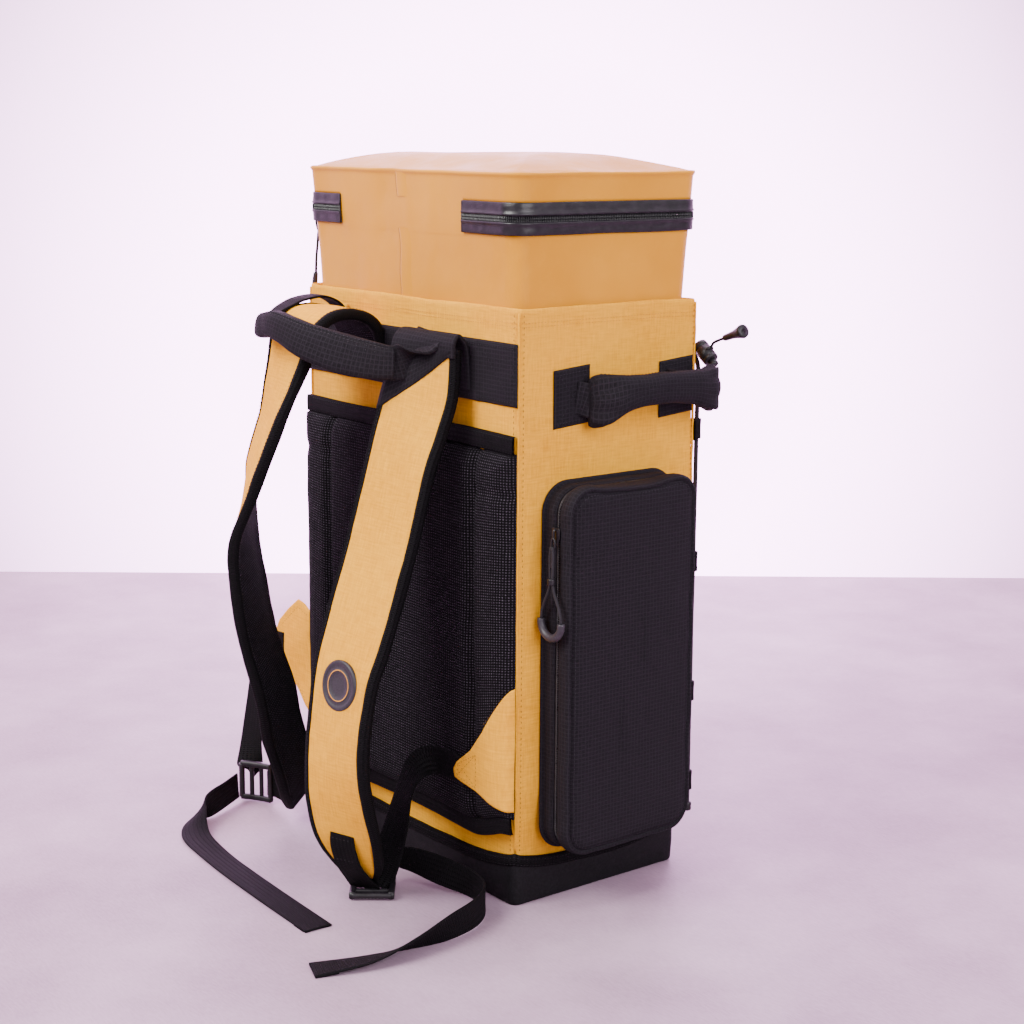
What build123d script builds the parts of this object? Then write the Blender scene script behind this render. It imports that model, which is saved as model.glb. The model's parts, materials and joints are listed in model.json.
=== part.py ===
"""Tackle backpack: an open canvas bag with a lift-out cooler box, pockets, handles and shoulder straps.

Millimetres.  +Z is up and z = 0 is the ground.  The origin is the centre of the base, -Y is the
wearer's side and +Y is the front.  Every sub-part has a function that returns its builder.
"""
import os
from math import cos, radians, sin, tan

from build123d import *

# Bag
BAG_WIDTH = 310
BAG_DEPTH = 190
BAG_RIM = 497
BAG_CORNER = 6
BAG_WALL = 2.5
TUCK_TOP = 100
TUCK_WIDTH = 289
TUCK_DEPTH = 175
BOOT_WIDTH = 294
BOOT_DEPTH = 180
BOOT_TOP = 47
BOOT_WALL = 2.3
BOOT_FLOOR = 3
BOARD_THICK = 2

# Back of the bag
BACK_Y = -BAG_DEPTH / 2
PANEL_HALF = 150
PANEL_BOTTOM = 69
PANEL_TOP = 382
PANEL_THICK = 13
BINDING = 15
BAND_LOW = 420
BAND_HIGH = 470
BAND_THICK = 2

# Cooler box
COOLER_FLOOR = 47.4
COOLER_ZIP = 566
COOLER_EDGE = 600
COOLER_CROWN = 616
COOLER_WIDTH = 306
COOLER_DEPTH = 194
COOLER_TAPER = 0.097
COOLER_LOW_WIDTH = 280
COOLER_LOW_DEPTH = 168
COOLER_CORNER = 16
COOLER_SKIN = 1.5
COOLER_FOAM = 8
COOLER_LINER = 1
ZIP_BAND = 25
HINGE_LEFT = -97
HINGE_RIGHT = 83

# Pockets: the side ones are equal, the front one is wider
SIDE_POCKET = {"half": 67, "low": 50, "high": 355, "depth": 35}
FRONT_POCKET = {"half": 112, "low": 58, "high": 370, "depth": 28}
POCKET_CORNER = 22
POCKET_WALL = 3
ZIP_WIDTH = 4
SIDE_SLIDER_Z = 317
FRONT_SLIDER_Z = 232

# Side handles
HANDLE_Z = 427
PATCH_MIDDLES = (-41, 71)
PATCH_WIDTH = 37
PATCH_HEIGHT = 47
PATCH_THICK = 1.8
GRIP_TALL = 28
GRIP_THICK = 13
# The grip's course: how far forward of the middle, and how far out from the bag.
GRIP_COURSE = ((-27, 11), (-9, 20), (11, 28), (55, 30), (76, 28), (93, 23))

# Webbing, cords and shoulder straps
WEBBING = 25
WEB_THICK = 1.6
STRAP_WIDTH = 75
STRAP_THICK = 8
BUNGEE = 4
THIN_CORD = 2.4
BUNGEE_X = 145
BUNGEE_Y = 101.5
LOOP_HEIGHTS = (71, 153, 269, 385)
CLEAR = 0.4

RIGHT_SIDE = Plane(origin=(BAG_WIDTH / 2, 0, 0), x_dir=(0, 1, 0), z_dir=(1, 0, 0))
LEFT_SIDE = Plane(origin=(-BAG_WIDTH / 2, 0, 0), x_dir=(0, -1, 0), z_dir=(-1, 0, 0))
FRONT_SIDE = Plane(origin=(0, BAG_DEPTH / 2, 0), x_dir=(-1, 0, 0), z_dir=(0, 1, 0))
BACK_SIDE = Plane(origin=(0, BACK_Y, 0), x_dir=(1, 0, 0), z_dir=(0, -1, 0))


def save(builder, name):
    """Label a finished sub-part and write it to its own STEP file."""
    builder.part.label = name
    export_step(builder.part, f"parts/{name}.step")


def ribbon(stations, thick):
    """A band through stations, each (centre, direction across the band, width).

    The section at a station stands square to the line between the stations beside it.
    """
    centres = [Vector(*centre) for centre, _, _ in stations]
    with BuildPart() as band:
        for index, (centre, across, width) in enumerate(stations):
            ahead = centres[min(index + 1, len(centres) - 1)] - centres[max(index - 1, 0)]
            side = Vector(*across).normalized()
            ahead = (ahead - side * ahead.dot(side)).normalized()
            with BuildSketch(Plane(origin=centre, x_dir=side, z_dir=ahead)):
                Rectangle(width, thick)
        loft(ruled=True)
    return band


def cord(points, radii, diameter):
    """A round cord along straight runs joined by arcs of the given radii."""
    with BuildPart() as line:
        with BuildLine() as route:
            FilletPolyline(*points, radius=radii)
        start = route.line @ 0
        with BuildSketch(Plane(origin=start, z_dir=route.line % 0)):
            Circle(diameter / 2)
        sweep(path=route.line)
    return line


def arc_radii(points):
    """The largest arc that each corner of a route has room for."""
    radii = []
    for before, corner, after in zip(points, points[1:], points[2:]):
        run_in = Vector(*corner) - Vector(*before)
        run_out = Vector(*after) - Vector(*corner)
        half_turn = radians(run_in.get_angle(run_out)) / 2
        radii.append(0.45 * min(run_in.length, run_out.length) / tan(half_turn))
    return radii


# ---------------------------------------------------------------- bag body

def bag_block(inset, floor, top):
    """The bag's outer form, tucked in at the foot, with its faces moved in by inset."""
    with BuildPart() as block:
        with BuildSketch(Plane.XY.offset(floor)):
            RectangleRounded(TUCK_WIDTH - 2 * inset, TUCK_DEPTH - 2 * inset, BAG_CORNER - inset)
        extrude(amount=BOOT_TOP - floor)
        with BuildSketch(Plane.XY.offset(BOOT_TOP)):
            RectangleRounded(TUCK_WIDTH - 2 * inset, TUCK_DEPTH - 2 * inset, BAG_CORNER - inset)
        with BuildSketch(Plane.XY.offset(TUCK_TOP)):
            RectangleRounded(BAG_WIDTH - 2 * inset, BAG_DEPTH - 2 * inset, BAG_CORNER - inset)
        loft()
        with BuildSketch(Plane.XY.offset(TUCK_TOP)):
            RectangleRounded(BAG_WIDTH - 2 * inset, BAG_DEPTH - 2 * inset, BAG_CORNER - inset)
        extrude(amount=top - TUCK_TOP)
    return block


def outer_shell():
    inner = bag_block(BAG_WALL, BOOT_FLOOR + BAG_WALL, BAG_RIM + 1)
    with BuildPart() as shell:
        add(bag_block(0, BOOT_FLOOR, BAG_RIM))
        add(inner, mode=Mode.SUBTRACT)
    return shell


def base_boot():
    with BuildPart() as boot:
        with BuildSketch():
            RectangleRounded(BOOT_WIDTH, BOOT_DEPTH, BAG_CORNER + BOOT_WALL)
        extrude(amount=BOOT_TOP)
        with BuildSketch(Plane.XY.offset(BOOT_FLOOR)):
            RectangleRounded(TUCK_WIDTH, TUCK_DEPTH, BAG_CORNER)
        extrude(amount=BOOT_TOP, mode=Mode.SUBTRACT)
        fillet(boot.faces().sort_by(Axis.Z)[0].outer_wire().edges(), radius=2)
    return boot


def base_board():
    board_floor = BOOT_FLOOR + BAG_WALL
    inset = BAG_WALL + CLEAR
    with BuildPart() as board:
        with BuildSketch(Plane.XY.offset(board_floor)):
            RectangleRounded(TUCK_WIDTH - 2 * inset, TUCK_DEPTH - 2 * inset, BAG_CORNER - inset)
        extrude(amount=BOARD_THICK)
    return board


def base_foam():
    """The closed-cell block that carries the cooler box above the base board."""
    foam_floor = BOOT_FLOOR + BAG_WALL + BOARD_THICK
    inset = BAG_WALL + CLEAR
    with BuildPart() as foam:
        with BuildSketch(Plane.XY.offset(foam_floor)):
            RectangleRounded(TUCK_WIDTH - 2 * inset, TUCK_DEPTH - 2 * inset, BAG_CORNER - inset)
        extrude(amount=BOOT_TOP - foam_floor)
    return foam


def frame_sheet():
    """The stiff sheet between the bag's back wall and the mesh padding."""
    with BuildPart() as sheet:
        with BuildSketch(BACK_SIDE):
            with Locations((0, (PANEL_TOP + TUCK_TOP) / 2)):
                RectangleRounded(2 * PANEL_HALF - 30, PANEL_TOP - TUCK_TOP - 10, 12)
        extrude(amount=1.5)
    return sheet


def back_panel():
    """The padded mesh panel, pocketed behind for the frame sheet."""
    middle = (PANEL_TOP + PANEL_BOTTOM) / 2
    with BuildPart() as panel:
        with BuildSketch(BACK_SIDE):
            with Locations((0, middle)):
                Rectangle(2 * PANEL_HALF, PANEL_TOP - PANEL_BOTTOM)
        extrude(amount=PANEL_THICK)
        fillet(panel.faces().sort_by(Axis.Y)[0].outer_wire().edges(), radius=8)
        with BuildSketch(BACK_SIDE):
            with Locations((0, (PANEL_TOP + TUCK_TOP) / 2)):
                RectangleRounded(2 * PANEL_HALF - 30, PANEL_TOP - TUCK_TOP - 10, 12)
        extrude(amount=1.5, mode=Mode.SUBTRACT)
    return panel


def panel_bindings():
    """The black tapes sewn along the top and the bottom of the mesh panel."""
    with BuildPart() as bindings:
        with BuildSketch(BACK_SIDE):
            with Locations((0, PANEL_TOP + BINDING / 2), (0, PANEL_BOTTOM - BINDING / 2)):
                Rectangle(2 * PANEL_HALF, BINDING)
        extrude(amount=3)
    return bindings


def anchor_band():
    """The wide band across the back that the straps are sewn into."""
    with BuildPart() as band:
        with BuildSketch(BACK_SIDE):
            with Locations((0, (BAND_LOW + BAND_HIGH) / 2)):
                Rectangle(BAG_WIDTH - 2, BAND_HIGH - BAND_LOW)
        extrude(amount=BAND_THICK)
    return band


RIGHT_WING = ((140, 176), (140, 92), (75, 105), (75, 118))
LEFT_WING = ((-154, 192), (-178, 199), (-212, 172), (-224, 149), (-216, 128), (-186, 116), (-154, 92))


def side_wings():
    """The canvas triangles that the lower webbing pulls on; the left one is pulled out sideways."""
    with BuildPart() as wings:
        with BuildSketch(BACK_SIDE.offset(PANEL_THICK)):
            with BuildLine():
                Polyline(*RIGHT_WING, close=True)
            make_face()
        extrude(amount=2)
        with BuildSketch(BACK_SIDE.offset(1)):
            with BuildLine():
                Polyline(*LEFT_WING, close=True)
            make_face()
        extrude(amount=2)
    return wings


# ---------------------------------------------------------------- pockets

def pocket_outline(size, grow=0.0):
    """A pocket's rounded outline in the plane of the open sketch."""
    with Locations((0, (size["low"] + size["high"]) / 2)):
        RectangleRounded(2 * (size["half"] + grow), size["high"] - size["low"] + 2 * grow,
                         POCKET_CORNER + grow)


def zip_start(size):
    """How far a pocket's zip stands out from the bag."""
    return size["depth"] * 0.42


def pocket_gusset(plane, size):
    """The side wall and the back of a pocket, sewn to the bag."""
    with BuildPart() as gusset:
        with BuildSketch(plane):
            pocket_outline(size)
        extrude(amount=zip_start(size))
        with BuildSketch(plane.offset(1)):
            pocket_outline(size, -POCKET_WALL)
        extrude(amount=size["depth"], mode=Mode.SUBTRACT)
    return gusset


def zip_band(plane, size):
    """The zip as a band, open at the hinge edge below."""
    start = zip_start(size)
    with BuildPart() as chain:
        with BuildSketch(plane.offset(start)):
            pocket_outline(size)
        extrude(amount=ZIP_WIDTH)
        with BuildSketch(plane.offset(start)):
            pocket_outline(size, -POCKET_WALL)
        extrude(amount=ZIP_WIDTH, mode=Mode.SUBTRACT)
        with BuildSketch(plane.offset(start)):
            with Locations((0, size["low"])):
                Rectangle(3 * size["half"], 2 * POCKET_CORNER)
        extrude(amount=ZIP_WIDTH, mode=Mode.SUBTRACT)
    return chain


def pocket_cover(plane, size):
    """The front and outer rim of a pocket, which folds down once it is unzipped."""
    start = zip_start(size) + ZIP_WIDTH + CLEAR
    with BuildPart() as cover:
        with BuildSketch(plane.offset(start)):
            pocket_outline(size)
        extrude(amount=size["depth"] - start)
        with BuildSketch(plane.offset(start)):
            pocket_outline(size, -POCKET_WALL)
        extrude(amount=size["depth"] - start - POCKET_WALL, mode=Mode.SUBTRACT)
    return cover


def pocket_slider(plane, size, side, height):
    """The zip slider, on the outside of the pocket's side wall."""
    with BuildPart() as slider:
        with BuildSketch(plane.offset(zip_start(size) - 3)):
            with Locations((side * (size["half"] + CLEAR + 2), height)):
                RectangleRounded(4, 14, 1.5)
        extrude(amount=10)
    return slider


def pocket_pull(plane, size, side, height):
    """A cord loop with a C-shaped finger grip moulded on its end, hanging from the slider."""
    depth = zip_start(size) + 3.5
    wall = plane.offset(depth).location * Location((side * (size["half"] + 7.4), 0, 0))
    hang = Plane(origin=wall.position, x_dir=plane.z_dir, z_dir=plane.z_dir.cross(Vector(0, 0, 1)))
    with BuildPart() as pull:
        with BuildSketch(hang):
            with Locations((0, height - 33)):
                SlotOverall(52, 9, rotation=90)
                SlotOverall(47, 4, rotation=90, mode=Mode.SUBTRACT)
        extrude(amount=THIN_CORD / 2, both=True)
        with BuildSketch(hang):
            with Locations((0, height - 70)):
                Circle(15)
                Circle(10.5, mode=Mode.SUBTRACT)
            with Locations((0, height - 57)):
                Rectangle(40, 16, mode=Mode.SUBTRACT)
            with Locations((0, height - 70)):
                Rectangle(7, 24)
        extrude(amount=2.2, both=True)
    return pull


# ---------------------------------------------------------------- side handles

def side_patches():
    """The four sewn patches, and the short webs that stand out of the front two to the grips."""
    with BuildPart() as patches:
        for plane, side in ((RIGHT_SIDE, 1), (LEFT_SIDE, -1)):
            with BuildSketch(plane):
                for middle in PATCH_MIDDLES:
                    with Locations((side * middle, HANDLE_Z - 2)):
                        Rectangle(PATCH_WIDTH, PATCH_HEIGHT)
            extrude(amount=PATCH_THICK)
            with BuildSketch(plane):
                with Locations((side * (PATCH_MIDDLES[1] - 12), HANDLE_Z)):
                    Rectangle(2, WEBBING)
            extrude(amount=18)
    return patches


def side_handle(plane, side):
    """A padded grip, bowed out from the bag."""
    level = Plane(origin=plane.origin + Vector(0, 0, HANDLE_Z),
                  x_dir=plane.x_dir, z_dir=(0, 0, 1))
    outward = plane.z_dir.dot(level.y_dir)
    course = [(side * forward, out * outward) for forward, out in GRIP_COURSE]
    with BuildPart() as handle:
        with BuildLine(level) as route:
            FilletPolyline(*course, radius=20)
        with BuildSketch(Plane(origin=route.line @ 0, x_dir=(0, 0, 1), z_dir=route.line % 0)):
            RectangleRounded(GRIP_TALL, GRIP_THICK, 6)
        sweep(path=route.line)
    return handle


# ---------------------------------------------------------------- cooler box

def cooler_level(height):
    """Width and depth of the cooler box at a height."""
    slack = COOLER_TAPER * (COOLER_EDGE - min(height, COOLER_EDGE))
    return (max(COOLER_WIDTH - slack, COOLER_LOW_WIDTH),
            max(COOLER_DEPTH - slack, COOLER_LOW_DEPTH))


def cooler_block(inset, low, high):
    """A slice of the cooler box between two heights, with its walls moved in by inset."""
    with BuildPart() as block:
        for height in (low, high):
            width, depth = cooler_level(height)
            with BuildSketch(Plane.XY.offset(height)):
                RectangleRounded(width - 2 * inset, depth - 2 * inset, COOLER_CORNER - inset)
        loft()
    return block


def cooler_tub(outer, wall, low, high):
    """An open box of one layer of the cooler: its outer inset, wall, bottom and top."""
    waist = COOLER_EDGE - (COOLER_WIDTH - COOLER_LOW_WIDTH) / COOLER_TAPER
    waist = max(waist, low + wall + 1)
    with BuildPart() as tub:
        add(cooler_block(outer, low, waist))
        add(cooler_block(outer, waist, high))
        add(cooler_block(outer + wall, low + wall, waist), mode=Mode.SUBTRACT)
        add(cooler_block(outer + wall, waist, high + 0.01), mode=Mode.SUBTRACT)
    return tub


def cooler_shell():
    return cooler_tub(0, COOLER_SKIN, COOLER_FLOOR, COOLER_ZIP - ZIP_BAND / 2)


def cooler_foam():
    return cooler_tub(COOLER_SKIN, COOLER_FOAM, COOLER_FLOOR + COOLER_SKIN, COOLER_ZIP - CLEAR)


def cooler_liner():
    return cooler_tub(COOLER_SKIN + COOLER_FOAM, COOLER_LINER,
                      COOLER_FLOOR + COOLER_SKIN + COOLER_FOAM, COOLER_ZIP - CLEAR)


def zip_tape(low, high):
    """One half of the lid zip: a band round the box, left open where the lid hinges."""
    with BuildPart() as tape:
        add(cooler_block(0, low, high))
        add(cooler_block(COOLER_SKIN, low - 0.01, high + 0.01), mode=Mode.SUBTRACT)
        with BuildSketch(Plane.XY.offset(low - 1)):
            with Locations(((HINGE_LEFT + HINGE_RIGHT) / 2, BACK_Y)):
                Rectangle(HINGE_RIGHT - HINGE_LEFT, 20)
        extrude(amount=high - low + 2, mode=Mode.SUBTRACT)
    return tape


def hinge_strip(low, high):
    """The stretch of box material behind, between the zip's ends, that the lid folds on."""
    back = -cooler_level(COOLER_ZIP)[1] / 2
    with BuildPart() as strip:
        with BuildSketch(Plane.XY.offset(low)):
            with Locations(((HINGE_LEFT + HINGE_RIGHT) / 2, back + COOLER_SKIN / 2)):
                Rectangle(HINGE_RIGHT - HINGE_LEFT, COOLER_SKIN - CLEAR)
        extrude(amount=high - low)
    return strip


def lid_hinge():
    return hinge_strip(COOLER_ZIP - ZIP_BAND / 2, COOLER_ZIP - CLEAR)


def crown_block(inset, low, crown):
    """The lid's form: straight sides to the rolled edge and a low crown above."""
    with BuildPart() as block:
        add(cooler_block(inset, low, COOLER_EDGE - inset))
        with BuildSketch(Plane.XY.offset(COOLER_EDGE - inset)):
            RectangleRounded(COOLER_WIDTH - 2 * inset, COOLER_DEPTH - 2 * inset,
                             COOLER_CORNER - inset)
        with BuildSketch(Plane.XY.offset(crown - inset)):
            RectangleRounded(COOLER_WIDTH * 0.6, COOLER_DEPTH * 0.45, COOLER_CORNER - inset)
        loft()
    return block


def lid_shell():
    low = COOLER_ZIP + ZIP_BAND / 2
    with BuildPart() as lid:
        add(crown_block(0, low, COOLER_CROWN))
        add(crown_block(COOLER_SKIN, low, COOLER_CROWN), mode=Mode.SUBTRACT)
        add(hinge_strip(COOLER_ZIP + CLEAR, low + COOLER_SKIN))
    return lid


def lid_foam():
    low = COOLER_ZIP + CLEAR + COOLER_LINER
    with BuildPart() as foam:
        add(cooler_block(COOLER_SKIN + 1, low, COOLER_EDGE - 4))
    return foam


def lid_liner():
    with BuildPart() as liner:
        add(cooler_block(COOLER_SKIN + 1, COOLER_ZIP + CLEAR, COOLER_ZIP + CLEAR + COOLER_LINER))
    return liner


LID_SLIDER_X = -COOLER_WIDTH / 2 - 2.4
LID_SLIDER_Y = -80


def lid_slider():
    with BuildPart() as slider:
        with BuildSketch(Plane.XY.offset(COOLER_ZIP - 4.5)):
            with Locations((LID_SLIDER_X, LID_SLIDER_Y)):
                RectangleRounded(4, 14, 1.5)
        extrude(amount=9)
    return slider


def lid_pull_tab():
    """The metal tab on the lid slider, with the oval hole for its cord."""
    with BuildPart() as tab:
        with BuildSketch(Plane.YZ.offset(LID_SLIDER_X - 4.2)):
            with Locations((LID_SLIDER_Y, COOLER_ZIP - 12)):
                RectangleRounded(9, 28, 3)
                with Locations((0, -7)):
                    SlotOverall(10, 4.5, rotation=90, mode=Mode.SUBTRACT)
        extrude(amount=1.6)
    return tab


# The lid pull's cord hangs from the tab's hole to its grip.
LID_CORD_TOP = COOLER_ZIP - 21
LID_CORD_BOTTOM = 503
LID_CORD_X = LID_SLIDER_X - 3.4


def lid_pull_cord():
    points = [(LID_CORD_X, LID_SLIDER_Y, LID_CORD_TOP),
              (LID_CORD_X - 1.2, LID_SLIDER_Y - 1, LID_CORD_TOP - 12),
              (LID_CORD_X - 1.4, LID_SLIDER_Y - 2.5, LID_CORD_TOP - 26),
              (LID_CORD_X - 2.6, LID_SLIDER_Y - 2.5, LID_CORD_BOTTOM)]
    return cord(points, arc_radii(points), THIN_CORD)


def lid_pull_grip():
    """The curved grip moulded on the end of the lid pull's cord."""
    with BuildPart() as grip:
        with BuildSketch(Plane.XZ.offset(-(LID_SLIDER_Y - 5))):
            with Locations((LID_CORD_X - 2.6, LID_CORD_BOTTOM - 9)):
                RectangleRounded(5, 18, 2.4)
        extrude(amount=-5)
    return grip


# ---------------------------------------------------------------- front lacing

def front_loops():
    """Short webbing loops down both front edges, open for the elastic cord."""
    with BuildPart() as loops:
        for side in (-1, 1):
            for height in LOOP_HEIGHTS:
                with BuildSketch(Plane.XY.offset(height - 9)):
                    with Locations((side * (BUNGEE_X - 1), BAG_DEPTH / 2 + 6)):
                        Rectangle(16, 12)
                        RectangleRounded(13, 9.4, 3, mode=Mode.SUBTRACT)
                extrude(amount=18)
    return loops


def bungee_cord():
    """The elastic cord: up the right loops, across the front and down the left loops."""
    top = LOOP_HEIGHTS[-1] + 67
    bottom = LOOP_HEIGHTS[0] - 20
    points = [(BUNGEE_X, BUNGEE_Y, bottom), (BUNGEE_X, BUNGEE_Y, top),
              (-BUNGEE_X, BUNGEE_Y, top), (-BUNGEE_X, BUNGEE_Y, bottom)]
    return cord(points, [16, 16], BUNGEE)


def bungee_knots():
    """The crimped ends that keep the elastic cord in its lowest loops."""
    with BuildPart() as knots:
        with BuildSketch(Plane.XY.offset(LOOP_HEIGHTS[0] - 28)):
            with Locations((BUNGEE_X, BUNGEE_Y), (-BUNGEE_X, BUNGEE_Y)):
                Circle(4)
        extrude(amount=8)
        chamfer(knots.edges().filter_by(GeomType.CIRCLE), length=1.2)
    return knots


LOCK_CENTRE = Vector(157, 104.5, 449)
LOCK_AXIS = Vector(0.8, 0, -0.6)
LOCK_PLANE = Plane(origin=LOCK_CENTRE, x_dir=(0, 1, 0), z_dir=LOCK_AXIS)


def cord_lock_body():
    """The barrel of the cord lock, bored down its length for button and spring."""
    with BuildPart() as body:
        with BuildSketch(LOCK_PLANE.offset(-11)):
            Circle(5.5)
        extrude(amount=18)
        fillet(body.edges().filter_by(GeomType.CIRCLE), radius=1)
        with BuildSketch(LOCK_PLANE.offset(-8)):
            Circle(3.9)
        extrude(amount=20, mode=Mode.SUBTRACT)
    return body


def cord_lock_button():
    with BuildPart() as button:
        with BuildSketch(LOCK_PLANE.offset(0)):
            Circle(3.6)
        extrude(amount=13)
        fillet(button.faces().sort_by(Axis((0, 0, 0), tuple(LOCK_AXIS)))[-1].edges(), radius=1)
    return button


def cord_lock_spring():
    """The return spring, as the sleeve that its coils fill."""
    with BuildPart() as spring:
        with BuildSketch(LOCK_PLANE.offset(-7.8)):
            Circle(3.2)
            Circle(2.3, mode=Mode.SUBTRACT)
        extrude(amount=7.6)
    return spring


BELL_BASE = Vector(177, 104.5, 465)
BELL_TIP = Vector(200, 104.5, 473)


def cord_tail():
    """The thin cord from the lock to the bell-shaped end."""
    start = LOCK_CENTRE + Vector(0.6, 0, 0.8) * 5.6
    points = [tuple(start), (164, 104.5, 459.5), (170, 105, 462.5), tuple(BELL_BASE)]
    return cord(points, arc_radii(points), THIN_CORD)


def cord_bell():
    axis = BELL_TIP - BELL_BASE
    with BuildPart() as bell:
        with BuildSketch(Plane(origin=BELL_BASE, x_dir=(0, 1, 0), z_dir=axis)):
            Circle(2.6)
        with BuildSketch(Plane(origin=BELL_TIP, x_dir=(0, 1, 0), z_dir=axis)):
            Circle(6)
        loft()
    return bell


# ---------------------------------------------------------------- shoulder straps

def turned(angle):
    """The direction across a strap that is turned about the upright by an angle in degrees."""
    return (cos(radians(angle)), -sin(radians(angle)), 0)


RIGHT_STRAP = [
    ((59.5, -112, 462), turned(-6), 72), ((59.5, -121, 425), turned(-16), 75),
    ((59.5, -132, 394), turned(-16), 75), ((59.5, -143, 362), turned(-12), 75),
    ((59.5, -162, 297), turned(-13), 75), ((59.5, -186, 228), turned(-13), 75),
    ((59.5, -197, 195), turned(-8), 75), ((59.5, -204, 152), turned(-6), 75),
    ((59.5, -206, 120), turned(-8), 75), ((58, -202, 88), turned(-14), 74),
    ((56, -194, 58), turned(-20), 68), ((53, -183, 34), turned(-24), 52),
    ((50, -174, 20), turned(-28), 34)]

LEFT_STRAP = [
    ((-59.5, -168, 462), turned(4), 72), ((-60, -174, 440), turned(8), 75),
    ((-64, -188, 395), turned(19), 75), ((-80, -199, 340), turned(26), 75),
    ((-96, -200, 290), turned(43), 75), ((-101, -193, 240), turned(48), 75),
    ((-106, -181, 190), turned(49), 75), ((-107, -166, 140), turned(51), 74),
    ((-119, -150, 95), turned(53), 70), ((-128, -134, 52), turned(56), 58),
    ((-142, -122, 22), turned(60), 38)]


# The webs over the top, from the anchor band to the crest of each strap.
YOKE_RIGHT = [((59.5, -98.8, 440), (1, 0, 0), 72), ((59.5, -100, 462), (1, 0, 0), 72),
              ((59.5, -104, 472), (1, 0, 0), 72), ((59.5, -110, 473), (1, 0, 0), 72),
              ((59.5, -113, 469), (1, 0, 0), 72)]
YOKE_LEFT = [((-59.5, -98.8, 440), (1, 0, 0), 66), ((-59.5, -100, 457), (1, 0, 0), 66),
             ((-59.5, -107, 471), (1, 0, 0), 66), ((-59.5, -121, 479), (1, 0, 0), 68),
             ((-59.5, -140, 481), (1, 0, 0), 70), ((-59.5, -155, 478), (1, 0, 0), 72),
             ((-59.5, -164, 472.5), (1, 0, 0), 72)]

# The narrow web from the bag to the grab handle's left end.
HAUL_WEB = [((-97, -98, 474), (1, 0, 0), 20), ((-97, -104.5, 484), (1, 0, 0), 20),
            ((-96, -120, 491), (1, 0, 0), 20), ((-95, -140, 489.5), (1, 0, 0), 20),
            ((-95, -152, 486), (1, 0, 0), 18), ((-94, -163, 481), (1, 0, 0), 16)]


# Stations along the grab handle, from its left end to its right one.
HAUL_BAR = [((-90, -174, 474), (0, 0, 1), 14), ((-82, -184, 472), (0, 0, 1), 20),
            ((-60, -194, 470), (0, 0, 1), 26), ((-30, -197, 467), (0, 0, 1), 30),
            ((-10, -192, 461), (0, 0, 1), 32), ((8, -181, 454.5), (0, 0, 1), 34),
            ((22, -167, 449), (0, 0.1, 1), 34), ((34, -152, 445), (0, 0.1, 1), 32)]


def haul_handle():
    """The padded grab handle between the crests of the two straps."""
    return ribbon(HAUL_BAR, 12)


BADGE_CENTRE = Vector(60, -202.6, 191)


def strap_badge():
    """A plain round patch low on the right strap."""
    with BuildPart() as badge:
        with BuildSketch(Plane(origin=BADGE_CENTRE, x_dir=turned(-7), z_dir=(0.12, -0.98, 0.16))):
            Circle(21)
        extrude(amount=1.5)
    return badge


# ---------------------------------------------------------------- buckles and webbing

def ladder_buckle(centre, along, across):
    """A ladder-lock buckle: two side rails and three bars, across is the bars' direction."""
    plane = Plane(origin=centre, x_dir=across, z_dir=Vector(*across).cross(Vector(*along)))
    with BuildPart() as buckle:
        with BuildSketch(plane.offset(-3)):
            RectangleRounded(38, 33, 4)
            with Locations((0, -10), (0, 0.5), (0, 10.5)):
                Rectangle(28, 6.5, mode=Mode.SUBTRACT)
        extrude(amount=6)
    return buckle


BUCKLE_RIGHT = Vector(52, -167, 5)
BUCKLE_LEFT = Vector(-200, -133, 20)


def buckle_right():
    return ladder_buckle(BUCKLE_RIGHT, (-0.79, 0.6, 0.1), (0.6, 0.79, 0))


def buckle_left():
    return ladder_buckle(BUCKLE_LEFT, (-0.85, -0.5, 0), (0, 0, 1))


def tab_right():
    """The short webbing that holds the right buckle to the strap's end."""
    return ribbon([((56.4, -194, 46), turned(-22), WEBBING), ((54.8, -187, 29), turned(-25), WEBBING),
                   ((53.2, -180, 16), turned(-30), WEBBING), ((52.6, -177, 12), turned(-36), WEBBING)],
                  WEB_THICK)


def tab_left():
    """The short webbing that holds the left buckle to the strap's end."""
    return ribbon([((-152, -122, 24), (0, 0, 1), WEBBING), ((-168, -123.5, 21), (0, 0, 1), WEBBING),
                   ((-183, -123, 20), (0, 0, 1), WEBBING)], WEB_THICK)


# The adjusting webs run from the wings down to the buckles.
WEB_RIGHT = [((80, -110.9, 112), (0, 0, 1), WEBBING), ((68, -113, 112), (-0.1, -0.1, 1), WEBBING),
             ((61, -126, 107), (-0.6, 0.2, 0.6), WEBBING), ((59, -139, 86), (-0.95, 0.1, 0.2), WEBBING),
             ((58, -147, 56), (-0.9, -0.3, 0), WEBBING), ((55, -155, 28), (-0.75, -0.65, 0), WEBBING),
             ((52, -160, 13), (-0.6, -0.79, 0), WEBBING)]
WEB_LEFT = [((-212, -99.6, 149), (0.2, 0, 1), WEBBING), ((-228, -101, 146), (-0.4, 0, 1), WEBBING),
            ((-238, -104, 126), (-0.95, 0, 0.3), WEBBING), ((-236, -112, 90), (-1, -0.1, 0), WEBBING),
            ((-228, -122, 52), (-0.9, -0.2, 0.3), WEBBING), ((-217, -131, 26), (-0.5, -0.1, 0.9), WEBBING)]

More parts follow.
